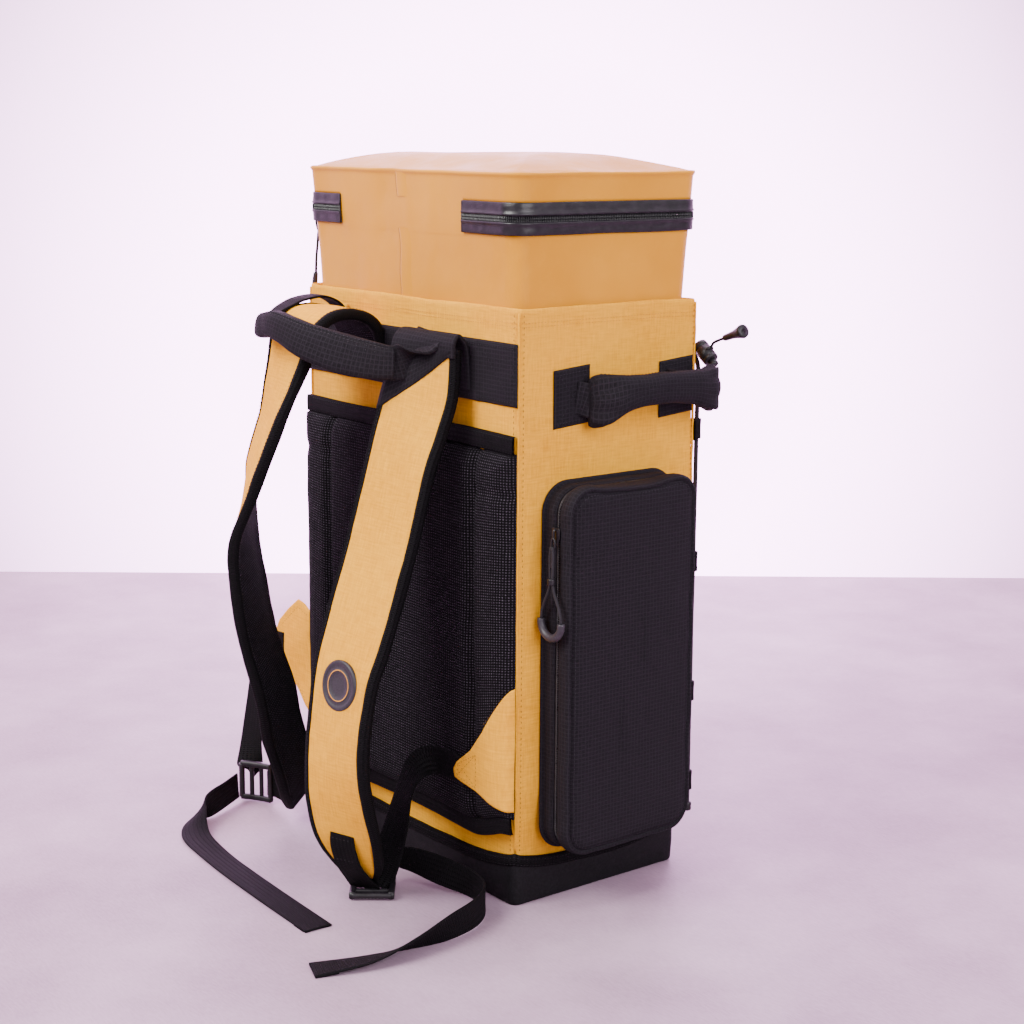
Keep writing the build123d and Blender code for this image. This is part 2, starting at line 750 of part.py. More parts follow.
# The loose tails beyond the buckles, down to the ground and along it.
TAIL_RIGHT = [((47, -157, 12), (0.6, 0.79, 0), WEBBING), ((46, -147, 21), (0.7, 0.6, 0.4), WEBBING),
              ((56, -133, 24), (0.5, 0.1, 0.85), WEBBING), ((84, -117, 18), (0, 0.2, 1), WEBBING),
              ((112, -108, 14), (0, 0, 1), WEBBING), ((140, -115, 13.5), (0, 0, 1), WEBBING),
              ((160, -138, 13.5), (0, 0, 1), WEBBING), ((170, -170, 13), (0.2, 0, 1), WEBBING),
              ((171, -206, 9.5), (0.7, 0, 0.7), WEBBING), ((166, -246, 4.5), (1, 0.1, 0.25), WEBBING),
              ((151, -288, 1.4), (1, -0.2, 0), WEBBING)]
TAIL_LEFT = [((-207, -150, 18), (0, 0, 1), WEBBING), ((-197, -169, 16), (0, 0, 1), WEBBING),
             ((-187, -190, 14), (0, 0, 1), WEBBING), ((-178, -209, 11), (0.5, 0.5, 0.7), WEBBING),
             ((-150, -226, 4), (0.3, 1, 0.2), WEBBING), ((-104, -233, 1.6), (0.1, 1, 0), WEBBING),
             ((-40, -238, 1.4), (0.05, 1, 0), WEBBING), ((30, -241, 1.4), (0.05, 1, 0), WEBBING),
             ((88, -243, 1.4), (0.12, 1, 0), WEBBING)]


def ribbons(courses, thick):
    """Like ribbons that share one node."""
    with BuildPart() as group:
        for stations in courses:
            add(ribbon(stations, thick))
    return group


def main():
    os.makedirs("parts", exist_ok=True)
    pieces = [outer_shell, base_boot, base_board, base_foam, frame_sheet, back_panel,
              panel_bindings, anchor_band, side_wings, side_patches,
              cooler_shell, cooler_foam, cooler_liner, lid_hinge, lid_shell, lid_foam, lid_liner,
              lid_slider, lid_pull_tab, lid_pull_cord, lid_pull_grip, front_loops, bungee_cord,
              bungee_knots, cord_lock_body, cord_lock_button, cord_lock_spring, cord_tail,
              cord_bell, haul_handle, strap_badge, buckle_right, buckle_left, tab_right, tab_left]
    for piece in pieces:
        save(piece(), piece.__name__)
    save(zip_tape(COOLER_ZIP - ZIP_BAND / 2, COOLER_ZIP - CLEAR), "zip_tape_lower")
    save(zip_tape(COOLER_ZIP + CLEAR, COOLER_ZIP + ZIP_BAND / 2), "zip_tape_upper")
    save(side_handle(RIGHT_SIDE, 1), "side_handle_right")
    save(side_handle(LEFT_SIDE, -1), "side_handle_left")
    pockets = (("right", RIGHT_SIDE, SIDE_POCKET, -1, SIDE_SLIDER_Z),
               ("left", LEFT_SIDE, SIDE_POCKET, 1, SIDE_SLIDER_Z),
               ("front", FRONT_SIDE, FRONT_POCKET, -1, FRONT_SLIDER_Z))
    for name, plane, size, side, height in pockets:
        save(pocket_gusset(plane, size), f"pocket_gusset_{name}")
        save(zip_band(plane, size), f"pocket_zip_{name}")
        save(pocket_cover(plane, size), f"pocket_cover_{name}")
        save(pocket_slider(plane, size, side, height), f"pocket_slider_{name}")
        save(pocket_pull(plane, size, side, height), f"pocket_pull_{name}")
    save(ribbon(RIGHT_STRAP, STRAP_THICK), "strap_right")
    save(ribbon(LEFT_STRAP, STRAP_THICK), "strap_left")
    save(ribbons((YOKE_RIGHT, YOKE_LEFT, HAUL_WEB), 3), "strap_yokes")
    save(ribbons((WEB_RIGHT, WEB_LEFT), WEB_THICK), "lower_webs")
    save(ribbon(TAIL_RIGHT, WEB_THICK), "tail_right")
    save(ribbon(TAIL_LEFT, WEB_THICK), "tail_left")


main()
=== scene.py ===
"""Looks of the tackle backpack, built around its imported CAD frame.

Shapes are worked out in millimetres in the frame of the part (+Z up, -Y the wearer's side, the
origin on the ground under the middle of the bag) and are turned into metres when a mesh is made.
"""
import json
from math import cos, pi, radians, sin, sqrt

import bpy
import numpy as np
from mathutils import Matrix, Vector, noise

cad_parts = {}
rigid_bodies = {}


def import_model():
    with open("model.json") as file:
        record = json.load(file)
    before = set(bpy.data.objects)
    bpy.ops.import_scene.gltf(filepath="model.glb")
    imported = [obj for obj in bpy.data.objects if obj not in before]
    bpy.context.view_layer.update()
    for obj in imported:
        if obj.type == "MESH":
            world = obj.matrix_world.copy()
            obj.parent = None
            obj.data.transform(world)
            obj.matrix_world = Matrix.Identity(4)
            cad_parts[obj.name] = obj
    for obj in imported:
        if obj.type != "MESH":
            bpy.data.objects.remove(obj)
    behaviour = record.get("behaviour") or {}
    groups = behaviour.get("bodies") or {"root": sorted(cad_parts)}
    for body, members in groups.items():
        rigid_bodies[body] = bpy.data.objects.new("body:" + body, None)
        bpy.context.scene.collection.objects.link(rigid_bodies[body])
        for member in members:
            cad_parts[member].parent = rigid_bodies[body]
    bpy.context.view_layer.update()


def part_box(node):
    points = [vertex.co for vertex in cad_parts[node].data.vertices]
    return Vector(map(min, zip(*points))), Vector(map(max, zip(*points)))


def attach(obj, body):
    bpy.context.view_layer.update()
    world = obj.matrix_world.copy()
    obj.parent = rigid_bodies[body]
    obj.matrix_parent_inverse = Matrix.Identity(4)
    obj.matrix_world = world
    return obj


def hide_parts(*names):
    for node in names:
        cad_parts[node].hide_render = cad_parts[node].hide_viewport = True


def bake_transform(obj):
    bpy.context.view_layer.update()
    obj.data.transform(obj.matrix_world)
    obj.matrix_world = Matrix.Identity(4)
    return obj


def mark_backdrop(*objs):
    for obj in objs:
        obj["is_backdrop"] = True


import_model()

MM = 0.001
UP = np.array((0.0, 0.0, 1.0))


# ================================================================ sizes read from the frame

def node_box(name):
    """Lowest and highest corner of a CAD node, in millimetres."""
    low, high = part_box(name)
    return np.array(low) / MM, np.array(high) / MM


SHELL_HIGH = node_box("outer_shell")[1]
BOOT_HIGH = node_box("base_boot")[1]
BAG_HALF_X = SHELL_HIGH[0]
BAG_HALF_Y = SHELL_HIGH[1]
RIM = SHELL_HIGH[2]
BOOT_TOP = BOOT_HIGH[2]
ZIP_LEVEL = node_box("zip_tape_lower")[1][2] + 0.4
LID_EDGE = 600.0
BOX_HALF_X = 153.0
BOX_HALF_Y = 97.0
BOX_CORNER = 16.0
BOX_TAPER = 0.0485
HINGE_FROM = -97.0
HINGE_TO = 83.0
TUCK_TOP = 100.0
TUCK_HALF_X = 144.5
TUCK_HALF_Y = 87.5


# ================================================================ mesh helpers

def unit(v):
    """The same directions, each one long."""
    v = np.asarray(v, float)
    return v / np.maximum(np.linalg.norm(v, axis=-1, keepdims=True), 1e-9)


def ripple(points, scale, seed=0.0):
    """Smooth noise, about -1 to 1, at each point for bumps about scale millimetres across."""
    flat = np.asarray(points, float).reshape(-1, 3) / scale + seed
    values = np.array([noise.noise(Vector(p)) for p in flat])
    return values.reshape(np.asarray(points).shape[:-1])


def build(name, verts, faces, uvs=None, slots=None, materials=(), body=None, smooth=True):
    """A mesh object from points in millimetres, with one uv per face corner."""
    mesh = bpy.data.meshes.new(name)
    mesh.from_pydata([tuple(p) for p in np.asarray(verts, float) * MM], [], faces)
    if uvs is not None:
        layer = mesh.uv_layers.new(name="UVMap")
        layer.data.foreach_set("uv", (np.asarray(uvs, float) * MM).ravel())
    for material in materials:
        mesh.materials.append(material)
    if slots is not None:
        mesh.polygons.foreach_set("material_index", np.asarray(slots, int))
    mesh.polygons.foreach_set("use_smooth", [smooth] * len(mesh.polygons))
    mesh.validate()
    mesh.update()
    piece = bpy.data.objects.new(name, mesh)
    bpy.context.scene.collection.objects.link(piece)
    if body:
        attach(piece, body)
    return piece


def surface(name, points, materials, body=None, wrap=False, caps=(False, False), slot_of=None,
            uv_origin=(0.0, 0.0), flip=False):
    """A grid of points [row, column] as a skin; uv runs along the rows and columns in millimetres.

    wrap joins the last column to the first, and caps closes the first and the last row.
    """
    rows, cols = points.shape[:2]
    verts = points.reshape(-1, 3)
    ring = np.concatenate([points, points[:, :1]], axis=1) if wrap else points
    step_u = np.linalg.norm(np.diff(ring, axis=1), axis=2).mean(0)
    step_v = np.linalg.norm(np.diff(points, axis=0), axis=2).mean(1)
    u = np.concatenate([[0], np.cumsum(step_u)]) + uv_origin[0]
    v = np.concatenate([[0], np.cumsum(step_v)]) + uv_origin[1]
    faces, uvs, slots = [], [], []
    last = cols if wrap else cols - 1
    for r in range(rows - 1):
        for c in range(last):
            d = (c + 1) % cols
            quad = [r * cols + c, r * cols + d, (r + 1) * cols + d, (r + 1) * cols + c]
            corner = [(u[c], v[r]), (u[c + 1], v[r]), (u[c + 1], v[r + 1]), (u[c], v[r + 1])]
            if flip:
                quad.reverse()
                corner.reverse()
            faces.append(quad)
            uvs.extend(corner)
            slots.append(slot_of(r, c) if slot_of else 0)
    for end, row in ((0, 0), (1, rows - 1)):
        if caps[end]:
            loop = [row * cols + c for c in range(cols)]
            if (end == 0) != flip:
                loop.reverse()
            faces.append(loop)
            uvs.extend((u[i % cols], v[row]) for i in loop)
            slots.append(slot_of(max(row - 1, 0), 0) if slot_of else 0)
    return build(name, verts, faces, uvs, slots, materials, body)


def smooth_path(points, count):
    """A curve through points (a centripetal Catmull-Rom spline), with count points evenly spaced."""
    p = np.asarray(points, float)
    p = np.vstack([2 * p[0] - p[1], p, 2 * p[-1] - p[-2]])
    made = []
    for i in range(1, len(p) - 2):
        a, b, c, d = p[i - 1], p[i], p[i + 1], p[i + 2]
        t = [0.0]
        for m, n in ((a, b), (b, c), (c, d)):
            t.append(t[-1] + max(np.linalg.norm(n - m), 1e-6) ** 0.5)
        s = np.linspace(t[1], t[2], 24, endpoint=False)[:, None]
        a1 = (t[1] - s) / (t[1] - t[0]) * a + (s - t[0]) / (t[1] - t[0]) * b
        a2 = (t[2] - s) / (t[2] - t[1]) * b + (s - t[1]) / (t[2] - t[1]) * c
        a3 = (t[3] - s) / (t[3] - t[2]) * c + (s - t[2]) / (t[3] - t[2]) * d
        b1 = (t[2] - s) / (t[2] - t[0]) * a1 + (s - t[0]) / (t[2] - t[0]) * a2
        b2 = (t[3] - s) / (t[3] - t[1]) * a2 + (s - t[1]) / (t[3] - t[1]) * a3
        made.append((t[2] - s) / (t[2] - t[1]) * b1 + (s - t[1]) / (t[2] - t[1]) * b2)
    curve = np.vstack(made + [p[-2:-1]])
    return resample(curve, count)


def resample(curve, count):
    """The same curve with count points evenly spaced along it; columns past 3 are carried along."""
    steps = np.linalg.norm(np.diff(curve[:, :3], axis=0), axis=1)
    run = np.concatenate([[0], np.cumsum(steps)])
    at = np.linspace(0, run[-1], count)
    return np.stack([np.interp(at, run, curve[:, k]) for k in range(curve.shape[1])], axis=1)


def path_length(path):
    """The length of a path, in its own unit."""
    return float(np.linalg.norm(np.diff(path, axis=0), axis=1).sum())


class Band:
    """A strip with a centre line, a direction across it and a width, such as a strap or webbing."""

    def __init__(self, stations, count):
        rows = [tuple(c) + tuple(unit(a)) + (w,) for c, a, w in stations]
        curve = smooth_path_wide(np.array(rows, float), count)
        self.centre = curve[:, :3]
        tangent = unit(np.gradient(self.centre, axis=0))
        across = curve[:, 3:6]
        across = unit(across - (across * tangent).sum(1, keepdims=True) * tangent)
        self.across = across
        self.out = unit(np.cross(across, tangent))
        self.width = curve[:, 6]
        steps = np.linalg.norm(np.diff(self.centre, axis=0), axis=1)
        self.run = np.concatenate([[0], np.cumsum(steps)])

    def at(self, s, x, lift):
        """The point s millimetres along, x millimetres across and lift millimetres out."""
        pick = [np.interp(s, self.run, self.centre[:, k]) for k in range(3)]
        side = [np.interp(s, self.run, self.across[:, k]) for k in range(3)]
        out = [np.interp(s, self.run, self.out[:, k]) for k in range(3)]
        return (np.array(pick).T + np.asarray(x)[..., None] * unit(np.array(side).T)
                + np.asarray(lift)[..., None] * unit(np.array(out).T))

    def skin(self, section):
        """Points [row, column] of a section of (share of half width, inward offset, lift) columns."""
        share, inward, lift = (np.array(col, float) for col in zip(*section))
        x = self.width[:, None] / 2 * share[None] - np.sign(share)[None] * inward[None]
        return (self.centre[:, None] + self.across[:, None] * x[..., None]
                + self.out[:, None] * lift[None, :, None])


def smooth_path_wide(rows, count):
    """smooth_path for rows that carry more columns behind x, y, z."""
    p = np.vstack([2 * rows[0] - rows[1], rows, 2 * rows[-1] - rows[-2]])
    made = []
    for i in range(1, len(p) - 2):
        a, b, c, d = p[i - 1], p[i], p[i + 1], p[i + 2]
        t = np.linspace(0, 1, 24, endpoint=False)[:, None]
        made.append(0.5 * (2 * b + (c - a) * t + (2 * a - 5 * b + 4 * c - d) * t ** 2
                           + (3 * b - a - 3 * c + d) * t ** 3))
    return resample(np.vstack(made + [p[-2:-1]]), count)


def tube_points(path, radius, sides=10, up=(0.03, 0.05, 1.0)):
    """A round tube's points [row, column] along a path; radius may be one number or one per point."""
    path = np.asarray(path, float)
    tangent = unit(np.gradient(path, axis=0))
    side = unit(np.cross(tangent, np.asarray(up, float)))
    other = np.cross(side, tangent)
    turn = np.linspace(0, 2 * pi, sides, endpoint=False)
    radius = np.broadcast_to(np.asarray(radius, float), (len(path),))
    ring = (np.cos(turn)[None, :, None] * side[:, None] + np.sin(turn)[None, :, None] * other[:, None])
    return path[:, None] + ring * radius[:, None, None]


def tube(name, path, radius, material, body=None, sides=10, up=(0.03, 0.05, 1.0)):
    """A round closed tube along a path, as a piece."""
    return surface(name, tube_points(path, radius, sides, up), [material], body,
                   wrap=True, caps=(True, True), flip=True)


class Stitches:
    """Sewn thread, gathered for one body and made as one piece."""

    def __init__(self):
        self.verts = []
        self.faces = []

    def line(self, path, out, pitch=3.2, long=2.3, thick=0.55, lift=0.15):
        """A row of stitches along a path, each lying on a surface that faces out."""
        path = np.asarray(path, float)
        count = max(int(path_length(path) / pitch), 1)
        at = resample(path, 2 * count + 1)
        out = np.broadcast_to(np.asarray(out, float), path.shape)
        faced = resample(np.hstack([path, out]), 2 * count + 1)[:, 3:]
        for k in range(1, 2 * count, 2):
            along = unit(at[min(k + 1, 2 * count)] - at[k - 1])
            normal = unit(faced[k])
            side = np.cross(along, normal)
            middle = at[k] + normal * lift
            base = len(self.verts)
            self.verts += [middle - along * long / 2 - normal * 0.3, middle + side * thick / 2,
                           middle + normal * thick / 2, middle - side * thick / 2,
                           middle - normal * thick / 2, middle + along * long / 2 - normal * 0.3]
            for a, b in ((1, 2), (2, 3), (3, 4), (4, 1)):
                self.faces += [(base, base + b, base + a), (base + 5, base + a, base + b)]

    def make(self, name, material, body):
        """Makes the gathered stitches one piece."""
        if self.verts:
            return build(name, self.verts, self.faces, None, None, [material], body)


def box_solid(name, size, centre, axes, bevel, material, body, taper=1.0):
    """A small moulded block with rounded edges; axes are its three directions."""
    half = np.array(size, float) / 2
    axes = np.array([unit(a) for a in axes])
    verts = []
    for z in (-1, 1):
        scale = taper if z > 0 else 1.0
        for x, y in ((-1, -1), (1, -1), (1, 1), (-1, 1)):
            local = np.array((x * half[0] * scale, y * half[1] * scale, z * half[2]))
            verts.append(np.asarray(centre, float) + local @ axes)
    faces = [(3, 2, 1, 0), (4, 5, 6, 7), (0, 1, 5, 4), (1, 2, 6, 5), (2, 3, 7, 6), (3, 0, 4, 7)]
    piece = build(name, verts, faces, None, None, [material], body)
    rounding = piece.modifiers.new("rounding", "BEVEL")
    rounding.width = bevel * MM
    rounding.segments = 3
    return apply_modifiers(piece)


def apply_modifiers(piece):
    """Turns what the modifiers make into the piece's own mesh."""
    bpy.context.view_layer.update()
    seen = piece.evaluated_get(bpy.context.evaluated_depsgraph_get())
    mesh = bpy.data.meshes.new_from_object(seen)
    piece.modifiers.clear()
    piece.data = mesh
    mesh.polygons.foreach_set("use_smooth", [True] * len(mesh.polygons))
    return piece


def joined(name, pieces, body):
    """Several pieces as one, riding on a body."""
    bpy.ops.object.select_all(action="DESELECT")
    for piece in pieces:
        piece.parent = None
        piece.select_set(True)
    bpy.context.view_layer.objects.active = pieces[0]
    bpy.ops.object.join()
    pieces[0].name = name
    pieces[0].data.name = name
    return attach(pieces[0], body) if body else pieces[0]


# ================================================================ materials

class Paint:
    """A node material whose pattern is laid out in millimetres over a piece's uv."""

    def __init__(self, name, roughness, specular=0.4, sheen=0.0, coat=0.0, flat_coords=False):
        self.material = bpy.data.materials.new(name)
        self.material.use_nodes = True
        self.tree = self.material.node_tree
        self.shader = self.tree.nodes["Principled BSDF"]
        self.shader.inputs["Roughness"].default_value = roughness
        self.shader.inputs["Specular IOR Level"].default_value = specular
        if sheen:
            self.shader.inputs["Sheen Weight"].default_value = sheen
            self.shader.inputs["Sheen Roughness"].default_value = 0.45
        if coat:
            self.shader.inputs["Coat Weight"].default_value = coat
            self.shader.inputs["Coat Roughness"].default_value = 0.3
        coords = self.tree.nodes.new("ShaderNodeTexCoord")
        self.object_mm = self.vector("SCALE", coords.outputs["Object"], scale=1000.0)
        if flat_coords:
            split = self.tree.nodes.new("ShaderNodeSeparateXYZ")
            self.tree.links.new(self.object_mm, split.inputs[0])
            around = self.math("ADD", split.outputs[0], split.outputs[1])
            self.u, self.v = around, split.outputs[2]
            join = self.tree.nodes.new("ShaderNodeCombineXYZ")
            self.tree.links.new(self.u, join.inputs[0])
            self.tree.links.new(self.v, join.inputs[1])
            self.mm = join.outputs[0]
        else:
            self.mm = self.vector("SCALE", coords.outputs["UV"], scale=1000.0)
            split = self.tree.nodes.new("ShaderNodeSeparateXYZ")
            self.tree.links.new(self.mm, split.inputs[0])
            self.u, self.v = split.outputs[0], split.outputs[1]

    def put(self, value, socket):
        """Links a socket to an input, or sets the input to a value."""
        if isinstance(value, bpy.types.NodeSocket):
            self.tree.links.new(value, socket)
        elif hasattr(value, "__len__") and len(value) == 3 and socket.type == "RGBA":
            socket.default_value = (*value, 1.0)
        else:
            socket.default_value = value

    def vector(self, operation, a, b=None, scale=None):
        """A vector maths node's output."""
        node = self.tree.nodes.new("ShaderNodeVectorMath")
        node.operation = operation
        self.put(a, node.inputs[0])
        if b is not None:
            self.put(b, node.inputs[1])
        if scale is not None:
            node.inputs["Scale"].default_value = scale
        return node.outputs[0]

    def math(self, operation, a, b=0.0, clamp=False):
        """A maths node's output."""
        node = self.tree.nodes.new("ShaderNodeMath")
        node.operation = operation
        node.use_clamp = clamp
        self.put(a, node.inputs[0])
        self.put(b, node.inputs[1])
        return node.outputs[0]

    def wave(self, coordinate, period, phase=0.0):
        """A sine of one coordinate, -1 to 1, that repeats every period millimetres."""
        scaled = self.math("MULTIPLY", coordinate, 2 * pi / period)
        return self.math("SINE", self.math("ADD", scaled, phase))

    def noise(self, size, detail=3.0, stretch=(1.0, 1.0, 1.0), solid=True, roughness=0.55):
        """Noise, 0 to 1, with blotches about size millimetres across."""
        node = self.tree.nodes.new("ShaderNodeTexNoise")
        source = self.object_mm if solid else self.mm
        scaled = self.vector("MULTIPLY", source, tuple(s / size for s in stretch))
        self.tree.links.new(scaled, node.inputs["Vector"])
        node.inputs["Scale"].default_value = 1.0
        node.inputs["Detail"].default_value = detail
        node.inputs["Roughness"].default_value = roughness
        return node.outputs[0]

    def spread(self, value, low, high, to_low=0.0, to_high=1.0):
        """Maps low..high onto to_low..to_high and clamps to them."""
        node = self.tree.nodes.new("ShaderNodeMapRange")
        self.put(value, node.inputs[0])
        for index, number in enumerate((low, high, to_low, to_high), start=1):
            node.inputs[index].default_value = number
        return node.outputs[0]

    def mix(self, share, a, b, blend="MIX"):
        """A mix of two colours."""
        node = self.tree.nodes.new("ShaderNodeMix")
        node.data_type = "RGBA"
        node.blend_type = blend
        self.put(share, node.inputs[0])
        self.put(a, node.inputs[6])
        self.put(b, node.inputs[7])
        return node.outputs[2]

    def colour(self, value):
        """Sets or links the base colour."""
        self.put(value, self.shader.inputs["Base Color"])

    def roughness(self, value):
        """Sets or links the roughness."""
        self.put(value, self.shader.inputs["Roughness"])

    def bump(self, height, depth, strength=1.0):
        """Adds relief: height runs 0 to 1 over depth millimetres; calls add up."""
        node = self.tree.nodes.new("ShaderNodeBump")
        node.inputs["Strength"].default_value = strength
        node.inputs["Distance"].default_value = depth * MM
        self.put(height, node.inputs["Height"])
        before = self.shader.inputs["Normal"].links
        if before:
            self.tree.links.new(before[0].from_socket, node.inputs["Normal"])
        self.tree.links.new(node.outputs[0], self.shader.inputs["Normal"])


def woven(paint, period):
    """Plain weave, -1 to 1: threads over and under each other."""
    return paint.math("MULTIPLY", paint.wave(paint.u, period), paint.wave(paint.v, period))


def canvas_material(flat_coords=False):
    """Coarse tan canvas: a plain weave with uneven threads and faint clouds."""
    paint = Paint("canvas_tan" + ("_box" if flat_coords else ""), 0.86, specular=0.05,
                  flat_coords=flat_coords)
    weave = woven(paint, 1.1)
    streaks = paint.noise(2.6, 3.0, (0.16, 1.6, 1.0), solid=False)
    slubs = paint.noise(2.6, 3.0, (1.6, 0.16, 1.0), solid=False)
    cloud = paint.noise(70.0, 4.0)
    threads = paint.math("ADD", paint.math("MULTIPLY", streaks, 0.5), paint.math("MULTIPLY", slubs, 0.5))
    base = paint.mix(paint.spread(threads, 0.32, 0.68), (0.66, 0.27, 0.008), (0.95, 0.45, 0.022))
    base = paint.mix(paint.spread(weave, -1.0, 1.0, 0.0, 0.35), base, (0.44, 0.18, 0.005))
    base = paint.mix(paint.spread(cloud, 0.35, 0.7, 0.0, 0.22), base, (0.94, 0.50, 0.04))
    paint.colour(base)
    paint.roughness(paint.spread(threads, 0.3, 0.7, 0.72, 0.9))
    paint.bump(weave, 0.16)
    paint.bump(threads, 0.35)
    paint.bump(paint.noise(26.0, 3.0), 1.2, 0.5)
    return paint.material


def box_skin_material():
    """The box's welded, satin, smooth-coated fabric."""
    paint = Paint("box_skin_tan", 0.36, specular=0.16)
    cloud = paint.noise(120.0, 3.0)
    scuff = paint.noise(9.0, 6.0, roughness=0.7)
    base = paint.mix(paint.spread(cloud, 0.3, 0.7), (0.50, 0.205, 0.006), (0.60, 0.26, 0.011))
    base = paint.mix(paint.spread(scuff, 0.55, 0.8, 0.0, 0.15), base, (0.72, 0.36, 0.03))
    paint.colour(base)
    paint.roughness(paint.spread(paint.noise(30.0, 5.0), 0.3, 0.75, 0.30, 0.46))
    paint.bump(woven(paint, 1.5), 0.03)
    paint.bump(paint.noise(45.0, 2.0), 2.2, 0.6)
    paint.bump(paint.noise(2.2, 2.0), 0.05)
    return paint.material


def ripstop_material(flat_coords=False):
    """Black ripstop: a fine weave under a raised 7 mm grid."""
    paint = Paint("ripstop_black" + ("_box" if flat_coords else ""), 0.7, specular=0.05,
                  flat_coords=flat_coords)
    weave = woven(paint, 0.9)
    line_u = paint.math("POWER", paint.math("ABSOLUTE", paint.wave(paint.u, 7.0)), 24.0)
    line_v = paint.math("POWER", paint.math("ABSOLUTE", paint.wave(paint.v, 7.0)), 24.0)
    grid = paint.math("MAXIMUM", line_u, line_v)
    threads = paint.noise(1.6, 4.0, (0.5, 1.4, 1.0), solid=False)
    base = paint.mix(paint.spread(threads, 0.3, 0.7), (0.0052, 0.0043, 0.0056), (0.0150, 0.0125, 0.0162))
    base = paint.mix(paint.spread(grid, 0.0, 1.0, 0.0, 0.35), base, (0.034, 0.029, 0.037))
    paint.colour(base)
    paint.roughness(paint.spread(threads, 0.3, 0.7, 0.55, 0.75))
    paint.bump(weave, 0.12)
    paint.bump(grid, 0.14)
    paint.bump(paint.noise(22.0, 3.0), 1.2, 0.5)
    return paint.material


def mesh_material():
    """Open air mesh: slanting rows of small cells over black foam, with a painted highlight on the knots
    between the cells and painted glints on them.
    """
    paint = Paint("air_mesh_black", 0.85, specular=0.06)
    lean = paint.math("ADD", paint.u, paint.math("MULTIPLY", paint.v, 1.15))
    back = paint.math("SUBTRACT", paint.u, paint.math("MULTIPLY", paint.v, 1.15))
    cells = paint.math("MULTIPLY", paint.wave(lean, 5.4), paint.wave(back, 5.4))
    knots = paint.spread(cells, 0.15, 0.95)
    fine = paint.noise(1.1, 2.0, solid=False)
    # painted glints: light flecks on the knots stand in for light catching the strands
    painted_glint = paint.math("MULTIPLY", knots, paint.spread(fine, 0.42, 0.66), clamp=True)
    # painted highlight: the knots are coloured lighter than the cells to stand in for light on the strands
    base = paint.mix(knots, (0.0026, 0.0021, 0.0028), (0.0200, 0.0165, 0.0218))
    paint.colour(paint.mix(painted_glint, base, (0.090, 0.077, 0.097)))
    paint.bump(cells, 0.5)
    paint.bump(fine, 0.2)
    return paint.material


def webbing_material():
    """Flat nylon webbing: a herringbone of ribs across its width."""
    paint = Paint("webbing_black", 0.66, specular=0.06)
    ribs = paint.wave(paint.v, 1.9)
    zigzag = paint.wave(paint.math("ADD", paint.v, paint.math("ABSOLUTE", paint.wave(paint.u, 8.0))), 1.9)
    threads = paint.noise(1.4, 3.0, solid=False)
    base = paint.mix(paint.spread(zigzag, -1.0, 1.0), (0.0012, 0.0010, 0.0013), (0.0042, 0.0035, 0.0044))
    base = paint.mix(paint.spread(threads, 0.4, 0.7, 0.0, 0.4), base, (0.0095, 0.0082, 0.0100))
    paint.colour(base)
    paint.bump(ribs, 0.22)
    paint.bump(zigzag, 0.2)
    paint.bump(threads, 0.1)
    return paint.material


def boot_material():
    """The base's heavy coated fabric, with a fine pebble grain and scuffed edges."""
    paint = Paint("boot_black", 0.6, specular=0.1)
    grain = paint.noise(1.3, 3.0)
    scuff = paint.noise(14.0, 6.0, (1.0, 1.0, 2.0), roughness=0.7)
    base = paint.mix(paint.spread(grain, 0.35, 0.65), (0.0028, 0.0025, 0.0031), (0.0076, 0.0067, 0.0084))
    paint.colour(paint.mix(paint.spread(scuff, 0.62, 0.85, 0.0, 0.3), base, (0.040, 0.033, 0.043)))
    paint.roughness(paint.spread(scuff, 0.3, 0.8, 0.42, 0.66))
    paint.bump(grain, 0.12)
    paint.bump(paint.noise(18.0, 3.0), 0.8, 0.5)
    return paint.material


def moulded_material(name="moulding_black", shine=0.38, flat_coords=False,
                     dark=(0.0055, 0.0045, 0.006), light=(0.015, 0.012, 0.016)):
    """Moulded plastic or painted metal: a fine grain and worn patches."""
    paint = Paint(name, shine, specular=0.3, flat_coords=flat_coords)
    grain = paint.noise(0.8, 2.0)
    wear = paint.noise(6.0, 5.0, roughness=0.7)
    base = paint.mix(paint.spread(wear, 0.4, 0.75), dark, light)
    paint.colour(base)
    paint.roughness(paint.spread(wear, 0.3, 0.7, shine - 0.06, shine + 0.12))
    paint.bump(grain, 0.05)
    return paint.material


def zip_tape_material():
    """The lid zip's coated tape, satin and slightly wavy."""
    paint = Paint("zip_tape_black", 0.33, specular=0.35)
    wear = paint.noise(8.0, 5.0, roughness=0.7)
    paint.colour(paint.mix(paint.spread(wear, 0.4, 0.8), (0.0055, 0.0042, 0.0062), (0.014, 0.011, 0.0155)))
    paint.roughness(paint.spread(wear, 0.3, 0.7, 0.28, 0.45))
    paint.bump(paint.noise(12.0, 3.0, (1.0, 1.0, 2.0)), 0.9, 0.6)
    paint.bump(paint.noise(0.9, 2.0), 0.04)
    return paint.material


def cord_material():
    """Braided sheath: two sets of strands that cross."""
    paint = Paint("cord_black", 0.55, specular=0.2)
    one = paint.wave(paint.math("ADD", paint.u, paint.v), 1.5)
    two = paint.wave(paint.math("SUBTRACT", paint.u, paint.v), 1.5)
    braid = paint.math("MULTIPLY", one, two)
    paint.colour(paint.mix(paint.spread(braid, -1.0, 1.0), (0.006, 0.005, 0.007), (0.022, 0.018, 0.024)))
    paint.bump(braid, 0.15)
    return paint.material


def thread_material(name, dark, light):
    """Twisted sewing thread between two shades."""
    paint = Paint(name, 0.6, specular=0.2)
    twist = paint.noise(0.8, 2.0)
    paint.colour(paint.mix(paint.spread(twist, 0.35, 0.65), dark, light))
    paint.bump(twist, 0.1)
    return paint.material


def foam_material():
    """Open-celled grey foam."""
    paint = Paint("foam_grey", 0.85)
    cells = paint.noise(0.9, 3.0)
    paint.colour(paint.mix(paint.spread(cells, 0.35, 0.65), (0.16, 0.16, 0.17), (0.26, 0.26, 0.27)))
    paint.bump(cells, 0.3)
    return paint.material


